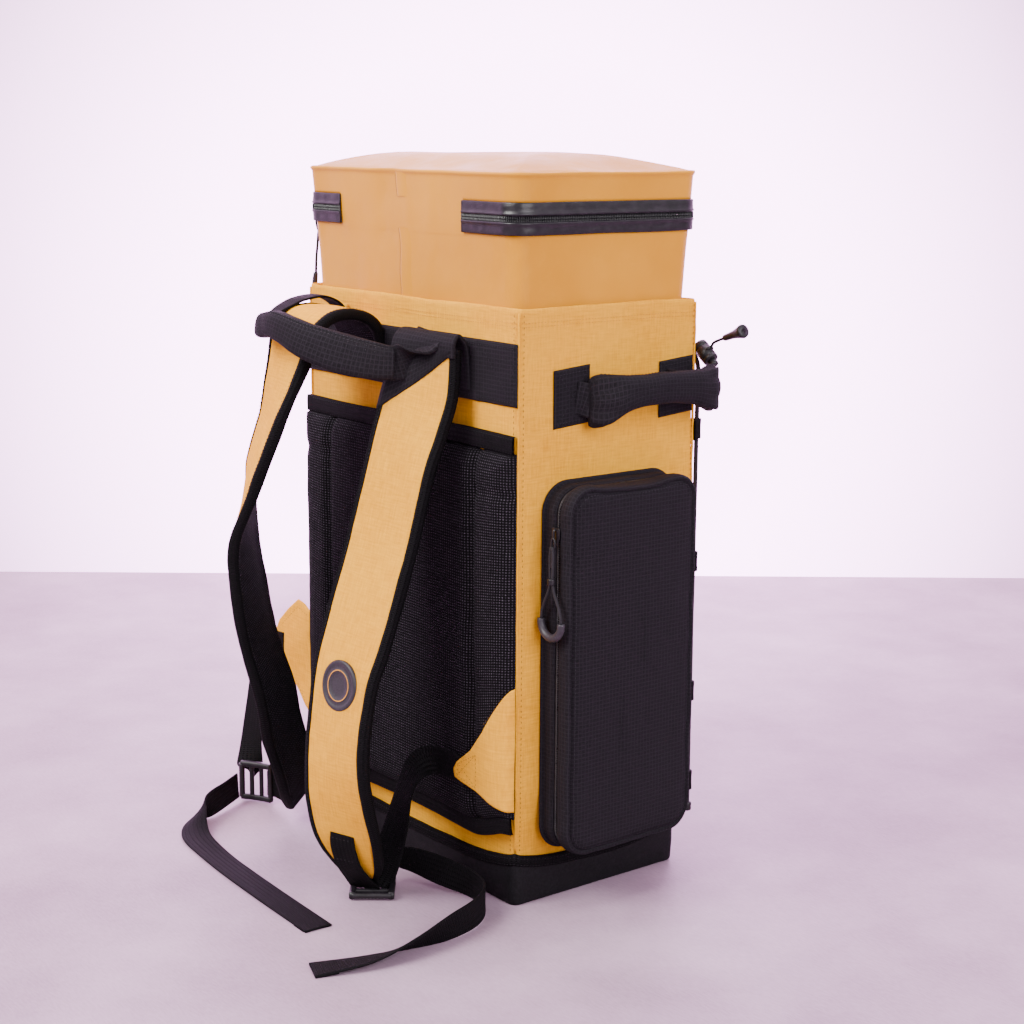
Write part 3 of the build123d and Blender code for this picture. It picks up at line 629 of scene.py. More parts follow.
def liner_material():
    """The box's wipe-clean inner skin, faintly creased."""
    paint = Paint("liner_grey", 0.3, coat=0.2)
    crease = paint.noise(26.0, 5.0, roughness=0.6)
    paint.colour(paint.mix(paint.spread(crease, 0.3, 0.7), (0.52, 0.53, 0.55), (0.68, 0.69, 0.71)))
    paint.bump(crease, 1.2)
    return paint.material


def steel_material():
    """Drawn spring wire."""
    paint = Paint("spring_steel", 0.3)
    paint.shader.inputs["Metallic"].default_value = 1.0
    drawn = paint.noise(0.6, 2.0)
    paint.colour(paint.mix(paint.spread(drawn, 0.3, 0.7), (0.42, 0.42, 0.43), (0.6, 0.6, 0.62)))
    return paint.material


def badge_material():
    """The strap badge's dark, finely grained face."""
    paint = Paint("badge", 0.5)
    grain = paint.noise(1.2, 3.0)
    paint.colour(paint.mix(paint.spread(grain, 0.35, 0.65), (0.010, 0.008, 0.011), (0.020, 0.016, 0.022)))
    paint.bump(grain, 0.06)
    return paint.material


# the wall stands this far ahead of the camera, and glows round a point low on it
CAMERA_FOOT = (1308.0, -991.0, 0.0)
WALL_AHEAD = 2665.0
GLOW_TURN = radians(52.3)
GLOW_CENTRE = (CAMERA_FOOT[0] - sin(GLOW_TURN) * WALL_AHEAD, CAMERA_FOOT[1] + cos(GLOW_TURN) * WALL_AHEAD,
               330.0)
GLOW_INNER = 420.0
GLOW_OUTER = 880.0


def see_through_behind(paint):
    """Makes a backdrop clear from its far side, so that the object can be seen past it."""
    facing = paint.tree.nodes.new("ShaderNodeNewGeometry")
    clear = paint.tree.nodes.new("ShaderNodeBsdfTransparent")
    either = paint.tree.nodes.new("ShaderNodeMixShader")
    paint.tree.links.new(facing.outputs["Backfacing"], either.inputs[0])
    paint.tree.links.new(paint.shader.outputs[0], either.inputs[1])
    paint.tree.links.new(clear.outputs[0], either.inputs[2])
    paint.tree.links.new(either.outputs[0], paint.tree.nodes["Material Output"].inputs[0])


def stage_material(name, low, high, size, roughness, glow=None):
    """The floor's or the wall's pale paint; glow is its brightest and its dimmest emission."""
    paint = Paint(name, roughness, specular=0.2)
    cloud = paint.noise(size, 6.0, roughness=0.6)
    fine = paint.noise(3.0, 3.0, (0.4, 1.6, 1.0))
    both = paint.math("ADD", paint.math("MULTIPLY", cloud, 0.75), paint.math("MULTIPLY", fine, 0.25))
    paint.colour(paint.mix(paint.spread(both, 0.35, 0.65), low, high))
    paint.bump(fine, 0.3, 0.4)
    if glow:
        bright, dim = glow
        reach = paint.tree.nodes.new("ShaderNodeVectorMath")
        reach.operation = "DISTANCE"
        paint.put(paint.object_mm, reach.inputs[0])
        reach.inputs[1].default_value = GLOW_CENTRE
        share = paint.spread(reach.outputs["Value"], GLOW_INNER, GLOW_OUTER, 1.0, 0.0)
        soft = paint.math("SMOOTH_MIN", share, 1.0, clamp=True)
        paint.put(paint.spread(soft, 0.0, 1.0, dim, bright), paint.shader.inputs["Emission Strength"])
        paint.shader.inputs["Emission Color"].default_value = (*high, 1.0)
        see_through_behind(paint)
    return paint.material


CANVAS = canvas_material()
BOX_SKIN = box_skin_material()
RIPSTOP = ripstop_material()
MESH = mesh_material()
WEBBING = webbing_material()
BOOT = boot_material()
MOULDING = moulded_material()
METAL = moulded_material("painted_metal_black", 0.28)
ZIP_TAPE = zip_tape_material()
CORD = cord_material()
TAN_THREAD = thread_material("thread_tan", (0.42, 0.17, 0.018), (0.62, 0.28, 0.035))
BLACK_THREAD = thread_material("thread_black", (0.006, 0.005, 0.007), (0.024, 0.019, 0.026))
FOAM = foam_material()
LINER = liner_material()
STEEL = steel_material()
BADGE = badge_material()
BINDING = webbing_material()
CLOTH = ripstop_material()
RIPSTOP_FLAT = ripstop_material(flat_coords=True)
GRIP = moulded_material("grip_grey", 0.42, dark=(0.022, 0.018, 0.024), light=(0.040, 0.034, 0.043))
BROWN_THREAD = thread_material("thread_brown", (0.10, 0.035, 0.006), (0.20, 0.08, 0.014))
GREY_THREAD = thread_material("thread_grey", (0.012, 0.010, 0.013), (0.050, 0.042, 0.053))
SEAM = thread_material("weld_edge", (0.14, 0.045, 0.006), (0.24, 0.09, 0.012))


# ================================================================ ring lofts

def rounded_ring(half_x, half_y, radius, along_x=60, along_y=40, corner=8):
    """A rounded rectangle's points and outward directions, anticlockwise from its +X, -Y corner."""
    points, outs = [], []
    a, b = half_x - radius, half_y - radius
    corners = ((a, b, 0.0), (-a, b, pi / 2), (-a, -b, pi), (a, -b, 1.5 * pi))
    before = (a, -b)
    for index, (x, y, turn) in enumerate(corners):
        count = along_y if index % 2 == 0 else along_x
        out = np.array((cos(turn), sin(turn)))
        for t in np.linspace(0, 1, count, endpoint=False):
            points.append(np.array(before) * (1 - t) + np.array((x, y)) * t + out * radius)
            outs.append(out)
        for t in np.linspace(0, pi / 2, corner, endpoint=False):
            bend = np.array((cos(turn + t), sin(turn + t)))
            points.append(np.array((x, y)) + bend * radius)
            outs.append(bend)
        before = (x, y)
    return np.array(points), np.array(outs)


def stacked(rows, **counts):
    """Rings one above another; a row is (half x, half y, corner radius, height, outward offset)."""
    made, outs = [], []
    for half_x, half_y, corner, height, offset in rows:
        ring, out = rounded_ring(half_x, half_y, corner, **counts)
        made.append(np.column_stack([ring + out * offset, np.full(len(ring), height)]))
        outs.append(np.column_stack([out, np.zeros(len(out))]))
    return np.array(made), np.array(outs)


def ease(value, low, high):
    """0 below low, 1 above high, and smooth between."""
    t = np.clip((np.asarray(value, float) - low) / (high - low), 0, 1)
    return t * t * (3 - 2 * t)


def bag_half(z):
    """Half width and half depth of the bag's outer face at a height."""
    t = float(np.clip((z - BOOT_TOP) / (TUCK_TOP - BOOT_TOP), 0, 1))
    return (TUCK_HALF_X + (BAG_HALF_X - TUCK_HALF_X) * t, TUCK_HALF_Y + (BAG_HALF_Y - TUCK_HALF_Y) * t)


def box_half(z):
    """Half width and half depth of the box's outer face at a height."""
    taken_in = BOX_TAPER * (LID_EDGE - min(z, LID_EDGE))
    return max(BOX_HALF_X - taken_in, 140.0), max(BOX_HALF_Y - taken_in, 84.0)


# ================================================================ bag body

def bag_canvas():
    """The open-topped canvas bag, with its turned-in rim and its inner face."""
    rows = []
    for z in (6, 20, 34, 44, 50, 58, 66, 74, 82, 90, 97, 103):
        rows.append((*bag_half(z), 6.0, z, 0.0))
    for z in np.linspace(110, RIM - 6, 74):
        rows.append((*bag_half(z), 6.0, z, 0.0))
    for up, offset in ((-3.5, 0.1), (-1.4, -0.1), (-0.3, -0.7), (0.0, -1.5), (-0.3, -2.3), (-1.6, -3.0)):
        rows.append((*bag_half(RIM), 6.0, RIM + up, offset))
    for z in list(np.linspace(RIM - 8, 110, 24)) + [100, 80, 60, 47, 20, 8]:
        rows.append((*bag_half(z), 6.0, z, -3.0))
    points, outs = stacked(rows, along_x=70, along_y=46, corner=7)
    base = points - outs * np.array([row[4] for row in rows])[:, None, None]
    swell = ripple(base, 95.0) * 1.3 + ripple(base * (1, 1, 0.35), 24.0, 7.0) * 0.35
    free = ease(base[..., 2], 60, 120)
    points += outs * ((swell - 0.7) * free)[..., None]
    droop = ripple(base * (1, 1, 0), 60.0, 3.0) * 1.5 + ripple(base * (1, 1, 0), 17.0, 5.0) * 0.4
    points[..., 2] += droop * ease(base[..., 2], 455, RIM - 2)
    return surface("bag_canvas", points, [CANVAS], "bag", wrap=True, caps=(True, True))


def corner_seams():
    """Felled seams down the four upright corners, with their two rows of stitches."""
    seams = []
    stitches = Stitches()
    heights = np.linspace(BOOT_TOP - 1, RIM - 3, 60)
    seam_gap = 5.2
    for sx, sy in ((1, -1), (1, 1), (-1, 1), (-1, -1)):
        line = []
        for z in heights:
            hx, hy = bag_half(z)
            line.append((sx * (hx - 1.9), sy * (hy - 1.9), z))
        line = np.array(line)
        line[:, :2] += 0.35 * ripple(line * (0, 0, 1), 14.0, sx + 2.0 * sy)[:, None]
        seams.append(tube("seam", line, 1.15 + 0.12 * ripple(line, 9.0), CANVAS, "bag", sides=8))
        for along_x in (True, False):
            row = []
            for z in heights:
                hx, hy = bag_half(z)
                row.append((sx * (hx - seam_gap), sy * (hy + 0.15), z) if along_x
                           else (sx * (hx + 0.15), sy * (hy - seam_gap), z))
            out = (0, sy, 0) if along_x else (sx, 0, 0)
            stitches.line(row, out, pitch=4.6, long=2.6, thick=0.75, lift=0.35)
    joined("corner_seams", seams, "bag")
    stitches.make("corner_stitches", BROWN_THREAD, "bag")


def rim_stitches():
    """Two rows of stitches that hold the rim's hem."""
    stitches = Stitches()
    for drop in (11.0, 14.0):
        ring, outs = rounded_ring(BAG_HALF_X + 0.1, BAG_HALF_Y + 0.1, 6.0)
        droop = ripple(np.column_stack([ring, np.zeros(len(ring))]), 60.0, 3.0) * 1.5
        line = np.column_stack([ring, RIM - drop + droop * 0.6])
        facing = np.column_stack([outs, np.zeros(len(outs))])
        stitches.line(np.vstack([line, line[:1]]), np.vstack([facing, [[1.0, 0.0, 0.0]]]),
                      lift=0.2, thick=0.5)
    stitches.make("rim_stitches", TAN_THREAD, "bag")


def boot_top(points):
    """Height of the boot's upper edge, which dips between the corners."""
    hx, hy = BOOT_HIGH[0], BOOT_HIGH[1]
    along = np.maximum(hx - np.abs(points[..., 0]), hy - np.abs(points[..., 1]))
    flat = points * (1, 1, 0)
    return (45.5 - 12.0 * (1 - np.exp(-np.maximum(along, 0) / 35.0))
            + ripple(flat, 70.0, 9.0) * 1.6 + ripple(flat, 22.0, 4.0) * 0.4)


def boot():
    """The coated foot of the bag and the binding along its upper edge."""
    hx, hy = BOOT_HIGH[0], BOOT_HIGH[1]
    rows = [(hx, hy, 8.3, z, off) for z, off in
            ((0.0, -5.0), (0.0, -2.2), (0.4, -1.0), (1.3, -0.3), (2.6, 0.0), (6, 0.2), (12, 0.5), (20, 0.7),
             (28, 0.6), (36, 0.3), (41, 0.1), (44.6, 0.2), (46.4, 0.0), (47.3, -0.8), (47.2, -1.8),
             (46.0, -2.3), (38.0, -2.3))]
    points, outs = stacked(rows, along_x=70, along_y=46, corner=8)
    points += outs * (ripple(points, 45.0, 2.0) * 0.6 * ease(points[..., 2], 3, 16))[..., None]
    points[..., 2] += (boot_top(points) - 47.3) * ease(points[..., 2], 6, 46)
    surface("base_boot_look", points, [BOOT], "bag", wrap=True, caps=(True, False))
    ring, outs = rounded_ring(hx, hy, 8.3, along_x=70, along_y=46, corner=8)
    flat = np.column_stack([ring, np.zeros(len(ring))])
    facing = np.column_stack([outs, np.zeros(len(outs))])
    rows = [flat + facing * lift + (boot_top(flat) + drop)[:, None] * UP for drop, lift in
            ((-9.2, 0.3), (-9.0, 1.4), (-5.0, 1.9), (-0.8, 1.6), (0.3, 1.1), (0.7, 0.2), (0.5, -1.8))]
    surface("boot_binding", np.array(rows), [BINDING], "bag", wrap=True)
    stitches = Stitches()
    for drop in (-7.4, -1.8):
        line = flat + facing * 1.7 + (boot_top(flat) + drop)[:, None] * UP
        stitches.line(np.vstack([line, line[:1]]), np.vstack([facing, facing[:1]]), lift=0.3)
    stitches.make("boot_stitches", BLACK_THREAD, "bag")


PAD_TOP = 383.0


def heightfield(name, xs, zs, height, y0, materials, body, side=-1, slot_of=None):
    """A panel over a grid of x and z that stands height out of the plane y0, with a rim back to it."""
    gx, gz = (xs, zs) if np.ndim(xs) == 2 else np.meshgrid(xs, zs)
    points = np.stack([gx, np.full_like(gx, y0) + side * height, gz], axis=2)
    ring = np.pad(points, ((1, 1), (1, 1), (0, 0)), mode="edge")
    ring[0, :, 1] = ring[-1, :, 1] = y0
    ring[:, 0, 1] = ring[:, -1, 1] = y0
    return surface(name, ring, materials, body, flip=side > 0, slot_of=slot_of)


def edge_round(xs, zs, radius):
    """0 to 1 over a grid: the quarter-round shoulder of a padded edge."""
    gx, gz = np.meshgrid(xs, zs)
    near = np.minimum(np.minimum(gx - xs[0], xs[-1] - gx), np.minimum(gz - zs[0], zs[-1] - gz))
    t = np.clip(near / radius, 0, 1)
    return np.sqrt(np.clip(1 - (1 - t) ** 2, 0, 1))


def pad_foot(x):
    """Height of the back pad's lower edge, which lifts towards both corners."""
    return 66.0 + 14.0 * ease(np.abs(x), 100, 153)


def back_pad():
    xs = np.linspace(-153.5, 153.5, 125)
    shares = np.linspace(0, 1, 127)
    gx, share = np.meshgrid(xs, shares)
    gz = pad_foot(gx) + (PAD_TOP - pad_foot(gx)) * share
    height = 1.2 + 10.4 * edge_round(xs, shares * (PAD_TOP - 66.0), 22.0)
    for channel in (-108.0, 108.0):
        wander = channel + 2.0 * np.sin(gz / 60.0)
        height -= 4.6 * np.exp(-((gx - wander) / 5.5) ** 2)
    height -= 1.6 * np.exp(-((gz - 350) / 5.0) ** 2) * (np.abs(gx) > 108)
    points = np.stack([gx, gz * 0, gz], axis=2)
    height += (ripple(points, 48.0, 4.0) * 1.0 + ripple(points, 15.0, 8.0) * 0.35) * ease(height, 1, 8)
    pad = heightfield("back_pad", gx, gz, np.minimum(height, 12.6), -BAG_HALF_Y + 0.3, [MESH], "bag")


def sewn_tape(name, line, width, thick, material, out, body, stitches, rows=(0.5,), up=(0, 0, 1),
              count=120, crown=0.5):
    """A flat tape with soft edges sewn on along a line, its outer face towards out."""
    stations = [(p, up, width) for p in line]
    band = Band(stations, count)
    sign = 1.0 if float(np.dot(band.out[0], out)) > 0 else -1.0
    section = []
    for share, inward, lift in ((-1, 0, 0.0), (-1, 0.4, thick), (-0.55, 0, thick + crown * 0.7),
                                (0.0, 0, thick + crown), (0.55, 0, thick + crown * 0.7), (1, 0.4, thick),
                                (1, 0, 0.0)):
        section.append((share, inward, sign * lift))
    points = band.skin(section)
    points += band.out[:, None] * (0.3 * sign * ripple(points, 17.0, 1.0))[..., None]
    made = surface(name, points, [material], body, flip=sign > 0)
    for share in rows:
        at = [band.at(s, share * width, sign * (thick + crown * 0.75)) for s in band.run]
        stitches.line(at, out, lift=0.12)
    return made


def bindings():
    stitches = Stitches()
    y = -BAG_HALF_Y - 0.1
    high = [(x, y - 2.2, 389.5 + 1.0 * sin(x / 50)) for x in np.linspace(-153, 153, 13)]
    low = [(x, y - 2.0, float(pad_foot(x)) - 4.5 + 1.2 * sin(x / 37 + 1)) for x in np.linspace(-153, 153, 21)]
    tapes = []
    for line, name in ((high, "binding_top"), (low, "binding_bottom")):
        tapes.append(sewn_tape(name, line, 15.0, 1.4, BINDING, (0, -1, 0), "bag", stitches,
                               rows=(0.38, -0.38)))
        edge = [(x, yy + 2.3, z) for x, yy, z in line]
        tapes.append(sewn_tape(name + "_back", edge, 15.0, 1.8, BINDING, (0, -1, 0), "bag", stitches,
                               rows=()))
    joined("panel_bindings_look", tapes, "bag")
    stitches.make("binding_stitches", BLACK_THREAD, "bag")


def anchor():
    """The wide black band across the back, quilted by its stitches, that the straps are sewn to."""
    stitches = Stitches()
    xs = np.linspace(-154, 154, 155)
    zs = np.linspace(420, 470, 30)
    gx, gz = np.meshgrid(xs, zs)
    height = 0.5 + 1.9 * edge_round(xs, zs, 3.0)
    for fold in (103.0, -103.0):
        height += 0.9 * np.exp(-((gx - fold) / 4.5) ** 2)
    for seam in (424.0, 466.0):
        height -= 0.5 * np.exp(-((gz - seam) / 0.9) ** 2)
    points = np.stack([gx, gz * 0, gz], axis=2)
    height += ripple(points, 16.0, 3.0) * 0.45 + ripple(points, 40.0, 5.0) * 0.5
    heightfield("anchor_band_look", xs, zs, height, -BAG_HALF_Y + 0.2, [RIPSTOP_FLAT], "bag")
    for z in (424.0, 466.0):
        stitches.line([(x, -BAG_HALF_Y - 1.9, z) for x in (-152, 0, 152)], (0, -1, 0), lift=0.5)
    for side in (-1, 1):
        for x in (149.0, 151.5):
            stitches.line([(side * x, -BAG_HALF_Y - 2.0, z) for z in (421, 469)], (0, -1, 0), lift=0.5)
        stitches.line([(side * 146, -BAG_HALF_Y - 2.4, 427), (side * 112, -BAG_HALF_Y - 2.4, 463)],
                      (0, -1, 0), lift=0.3)
    stitches.make("anchor_stitches", BLACK_THREAD, "bag")


def filled(name, outline, thick, y_of, material, body, cells=26):
    """A flat cloth piece over an outline of (x, z) points, y_of giving the height of its mid plane."""
    outline = np.array(outline, float)
    centre = outline.mean(0)
    ring = resample(np.vstack([outline, outline[:1]]), 161)[:-1]
    rows = []
    for face, shares in ((-1, np.linspace(0.02, 1.0, cells)), (1, np.linspace(1.0, 0.02, cells))):
        for share in shares:
            at = centre + (ring - centre) * share
            edge = min((1 - share) / 0.06, 1.0)
            half = thick / 2 * (0.35 + 0.65 * edge ** 0.5)
            y = np.array([y_of(x, z) for x, z in at]) + face * half
            rows.append(np.column_stack([at[:, 0], y, at[:, 1]]))
    return planar(surface(name, np.array(rows), [material], body, wrap=True, caps=(True, True), flip=True))


def planar(piece, axes=(0, 2)):
    """Lays a piece's uv flat in two of its axes, so that a weave isn't pulled round."""
    mesh = piece.data
    layer = mesh.uv_layers[0].data
    where = np.empty(len(mesh.vertices) * 3)
    mesh.vertices.foreach_get("co", where)
    where = where.reshape(-1, 3)
    corner = np.empty(len(mesh.loops), int)
    mesh.loops.foreach_get("vertex_index", corner)
    layer.foreach_set("uv", where[corner][:, list(axes)].ravel())
    return piece


def wings():
    """The two canvas triangles low on the back; the left one is pulled out by its web."""
    stitches = Stitches()

    def right_y(x, z):
        round_off = float(np.clip((155.0 - x) / 22.0, 0, 1))
        return -96.2 - 13.2 * sqrt(1 - (1 - round_off) ** 2) - 0.4 * sin(x / 11.0 + z / 17.0)

    def left_y(x, z):
        return -97.4 - 1.4 * sin(x / 16.0 - z / 13.0) - 1.0 * ease(-x, 180, 220)

    right = [(155.0, 192), (155.0, 150), (155.0, 110), (155.0, 87), (136, 93), (120, 98), (100, 101),
             (91, 103), (89.5, 110), (94, 117), (112, 131), (129, 151), (143, 173)]
    left = [(-153, 192), (-166, 197), (-179, 199), (-196, 187), (-213, 172), (-224, 150), (-217, 128),
            (-187, 115), (-168, 101), (-153, 91)]
    pieces = [filled("wing_right", right, 2.0, right_y, CANVAS, "bag"),
              filled("wing_left", left, 2.2, left_y, CANVAS, "bag")]
    joined("side_wings_look", pieces, "bag")
    box = [(95, 105), (97, 116), (121, 130), (121, 101), (95, 105), (121, 130)]
    rows = [box, [(121, 101), (97, 116)], [(150, 184), (131, 158)], [(150, 92), (124, 100)]]
    for row in rows:
        path = resample(np.array([(x, right_y(x, z) - 1.1, z) for x, z in row]), 60)
        stitches.line(path, (0, -1, 0), pitch=3.6, long=2.2, thick=0.5, lift=0.1)
    for row in ([(-158, 188), (-178, 192), (-208, 168)], [(-218, 149), (-211, 131), (-184, 120), (-158, 98)],
                [(-200, 138), (-214, 142), (-214, 160), (-200, 156), (-200, 138), (-214, 160)]):
        for face in (-1, 1):
            path = resample(np.array([(x, left_y(x, z) + face * 1.2, z) for x, z in row]), 60)
            stitches.line(path, (0, face, 0), pitch=3.6, long=2.2, thick=0.5, lift=0.1)
    stitches.make("wing_stitches", BROWN_THREAD, "bag")


# ================================================================ pockets

class Side:
    """A face of the bag: a runs along it, up is the height and out stands off it."""

    def __init__(self, origin, along, out):
        self.origin = np.array(origin, float)
        self.along = np.array(along, float)
        self.out = np.array(out, float)

    def at(self, a, up, depth):
        a, up, depth = np.broadcast_arrays(np.asarray(a, float), np.asarray(up, float),
                                           np.asarray(depth, float))
        return (self.origin + a[..., None] * self.along + up[..., None] * UP
                + depth[..., None] * self.out)


RIGHT = Side((BAG_HALF_X, 0, 0), (0, 1, 0), (1, 0, 0))
LEFT = Side((-BAG_HALF_X, 0, 0), (0, -1, 0), (-1, 0, 0))
FRONT = Side((0, BAG_HALF_Y, 0), (-1, 0, 0), (0, 1, 0))
SIDE_POCKET = {"half": 67.0, "low": 50.0, "high": 355.0, "depth": 35.0}
FRONT_POCKET = {"half": 112.0, "low": 58.0, "high": 370.0, "depth": 28.0}
POCKET_RADIUS = 22.0


def pocket_ring(size, grow):
    """A pocket's outline moved outwards by grow: (a, up) points and their outward directions."""
    half_z = (size["high"] - size["low"]) / 2
    half_a = size["half"] + grow
    radius = min(max(POCKET_RADIUS + grow, 1.0), half_a - 0.5)
    ring, outs = rounded_ring(half_a, half_z + grow, radius, along_x=44, along_y=84, corner=16)
    return ring + (0, size["low"] + half_z), outs


def dish(side, size, rows, wobble=None):
    """Rings of a pocket, each (grow, depth), with wobble(ring) added to both."""
    made = []
    for grow, depth in rows:
        ring, outs = pocket_ring(size, grow)
        more, deeper = wobble(ring, grow, depth) if wobble else (0.0, 0.0)
        ring = ring + outs * np.asarray(more)[..., None]
        made.append(side.at(ring[:, 0], ring[:, 1], depth + deeper))
    return np.array(made)


def pocket(name, side, size, zip_side, slider_up, seed):
    """One zipped pocket: its sewn-on wall, its zip and the cover that folds down."""
    bag, cover_body = "bag", f"pocket_cover_{name}"
    start = size["depth"] * 0.42
    stop = start + 4.4
    depth = size["depth"]

    def soft(ring, grow, at):
        flat = np.column_stack([ring, np.zeros(len(ring))])
        lift = ripple(flat, 32.0, seed) * 0.9 + ripple(flat, 11.0, seed + 4) * 0.35
        share = ease(at, 1.0, start)
        return lift * share, ripple(flat, 40.0, seed + 9) * 0.5 * share

    wall_rows = [(3.4, 0.3), (3.2, 1.2), (2.4, 1.6), (0.6, 1.9), (0.3, 3.0), (0.9, 6.0), (1.0, 9.0),
                 (0.3, start - 2.6), (-0.8, start - 1.2), (-2.4, start - 0.5), (-3.0, start - 1.4),
                 (-3.2, start - 4), (-3.4, 5.0), (-3.4, 1.6)]
    wall = dish(side, size, wall_rows, soft)
    surface(f"pocket_wall_{name}", wall, [RIPSTOP], bag, wrap=True, caps=(False, True))

    def cover_wave(ring, grow, at):
        """The cover's rim is softer: it scallops along the top and puckers down its sides."""
        flat = np.column_stack([ring, np.zeros(len(ring))])
        high = ease(ring[:, 1], size["high"] - 30, size["high"])
        dip = -np.cos(ring[:, 0] / size["half"] * pi) * 2.2 * high
        free = ease(at, start, depth - 4)
        out = ripple(flat, 36.0, seed + 2) * 1.0 + ripple(flat, 10.0, seed + 5) * 0.35
        deep = ripple(flat, 44.0, seed + 6) * 1.2 - 1.0
        return (out + dip) * (0.35 + 0.65 * free), deep * free + 1.4 * high * free

    rim_rows = [(-3.2, depth - 6.0), (-3.2, stop + 1.2), (-2.4, stop + 0.1), (-1.2, stop - 0.1),
                (0.2, stop + 0.5), (1.0, stop + 2.0), (1.6, stop + 5.5), (1.5, depth - 7.5),
                (1.3, depth - 5.0), (0.9, depth - 3.0), (0.2, depth - 1.6), (-1.0, depth - 0.9),
                (-2.2, depth - 1.0), (-3.0, depth - 1.9), (-3.5, depth - 2.6)]
    rim = dish(side, size, rim_rows, cover_wave)
    surface(f"pocket_rim_{name}", rim, [RIPSTOP], cover_body, wrap=True)

    def panel_wave(ring, grow, at):
        flat = np.column_stack([ring, np.zeros(len(ring))])
        inset = -grow - 3.0
        _, deep = cover_wave(ring, -3.0, depth)
        near = np.exp(-np.maximum(inset, 0) / 16.0)
        folds = ripple(flat, 26.0, seed + 7) * 1.3 * near * ease(inset, 0, 5)
        quilting = ripple(flat * (1.0, 0.5, 1.0), 50.0, seed + 8) * 1.4 * ease(inset, 4, 22)
        out, _ = cover_wave(ring, grow, depth)
        return out * ease(-inset, -14, 0), deep * near + folds + quilting

    insets = [0.0, 0.7, 1.6, 3.0, 5.0, 7.5, 10.5, 14.0, 18.0, 22.5, 27.0, 32.0, 37.0, 42.0, 47.0, 52.0, 57.0]
    insets += list(np.arange(62.0, size["half"] - 10.0, 5.0))
    crown = 2.9
    rows = [(-3.2 - t, depth - 2.4 + crown * (1 - np.exp(-t / 3.0))) for t in insets
            if t < size["half"] - 13.0]
    panel = surface(f"pocket_panel_{name}", dish(side, size, rows, panel_wave), [RIPSTOP], cover_body,
                    wrap=True, caps=(False, True))
    planar(panel, axes=(1, 2) if side is not FRONT else (0, 2))
    lining = dish(side, size, [(-3.0, stop), (-3.6, depth - 7.0), (-6.0, depth - 5.2), (-9.0, depth - 5.0)])
    surface(f"pocket_lining_{name}", lining, [RIPSTOP], cover_body, wrap=True, caps=(False, True), flip=True)
    pocket_zip(name, side, size, start, stop)
    pocket_fold(name, side, size, start, stop)
    hardware = zip_slider(side, size, zip_side, slider_up, start + 2.2)
    joined(f"pocket_slider_look_{name}", hardware, f"pocket_slider_{name}")
    pull = zip_pull(side, size, zip_side, slider_up, start + 3.5)
    joined(f"pocket_pull_look_{name}", pull, f"pocket_pull_{name}")
    stitches = Stitches()
    line = dish(side, size, [(-5.4, depth + 0.1)], panel_wave)[0]
    stitches.line(np.vstack([line, line[:1]]), side.out, lift=0.2)
    stitches.make(f"pocket_stitches_{name}", BLACK_THREAD, cover_body)


def open_run(size, grow):
    """A pocket's outline without its foot, from the low right round the top to the low left."""
    ring, outs = pocket_ring(size, grow)
    keep = ring[:, 1] > size["low"] + 9.0
    order = np.where(keep)[0]
    gap = np.where(np.diff(order) > 1)[0]
    if len(gap):
        order = np.concatenate([order[gap[0] + 1:], order[:gap[0] + 1]])
    return ring[order], outs[order]


def pocket_zip(name, side, size, start, stop):
    """Tapes and teeth; the outer row of teeth goes with the cover."""
    for half, body, depth, turn in (("inner", "bag", start - 0.5, 1.0),
                                    ("outer", f"pocket_cover_{name}", stop + 0.3, -1.0)):
        pieces = []
        ring, outs = open_run(size, -2.6)
        at = side.at(ring[:, 0], ring[:, 1], depth)
        out3 = outs[:, :1] * side.along + outs[:, 1:] * UP
        rows = np.array([at + out3 * lift + side.out * reach * turn
                         for lift, reach in ((0.6, -2.4), (0.9, 0.3), (0.8, 1.5), (0.0, 1.7), (-0.6, 1.2))])
        pieces.append(surface("tape", rows, [ZIP_TAPE], None, flip=turn < 0))
        run = resample(np.hstack([at + out3 * 0.9 + side.out * 1.6 * turn, out3]),
                       int(path_length(at) / 1.9))
        pieces.append(teeth_row("teeth", run[:, :3], unit(run[:, 3:]), side.out * turn, 1.2, 1.9, 1.1))
        joined(f"pocket_zip_{half}_{name}", pieces, body)


def teeth_row(name, points, outs, reach, wide, tall, gauge):
    """A row of zip teeth: small rounded bars that stand across the tape."""
    verts, faces = [], []
    along = unit(np.gradient(points, axis=0))
    for p, o, t in zip(points, outs, along):
        base = len(verts)
        for end, scale in ((-0.5, 0.8), (0.5, 0.55)):
            middle = p + np.asarray(reach) * tall * end
            verts += [middle - t * wide / 2 * scale, middle + o * gauge * scale,
                      middle + t * wide / 2 * scale]
        faces += [(base, base + 1, base + 4, base + 3), (base + 1, base + 2, base + 5, base + 4),
                  (base + 3, base + 4, base + 5)]
    return build(name, verts, faces, None, None, [METAL], None)


def pocket_fold(name, side, size, start, stop):
    """The cloth along a pocket's foot that its cover hinges on."""
    rows = []
    foot = np.where(pocket_ring(size, 0.0)[0][:, 1] < size["low"] + 10.0)[0]
    for depth, grow in ((start - 1.4, -1.4), (start - 0.2, -0.8), (start + 1.4, -0.4), (start + 3.0, -0.4),
                        (stop + 0.4, -0.8), (stop + 1.6, -1.4)):
        ring, _ = pocket_ring(size, grow)
        rows.append(side.at(ring[foot, 0], ring[foot, 1], depth))
    fold = surface(f"pocket_fold_{name}", np.array(rows), [RIPSTOP])
    low = side.at(0.0, size["low"], start - 1.0) * MM
    high = side.at(0.0, size["low"], stop + 1.0) * MM
    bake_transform(fold)


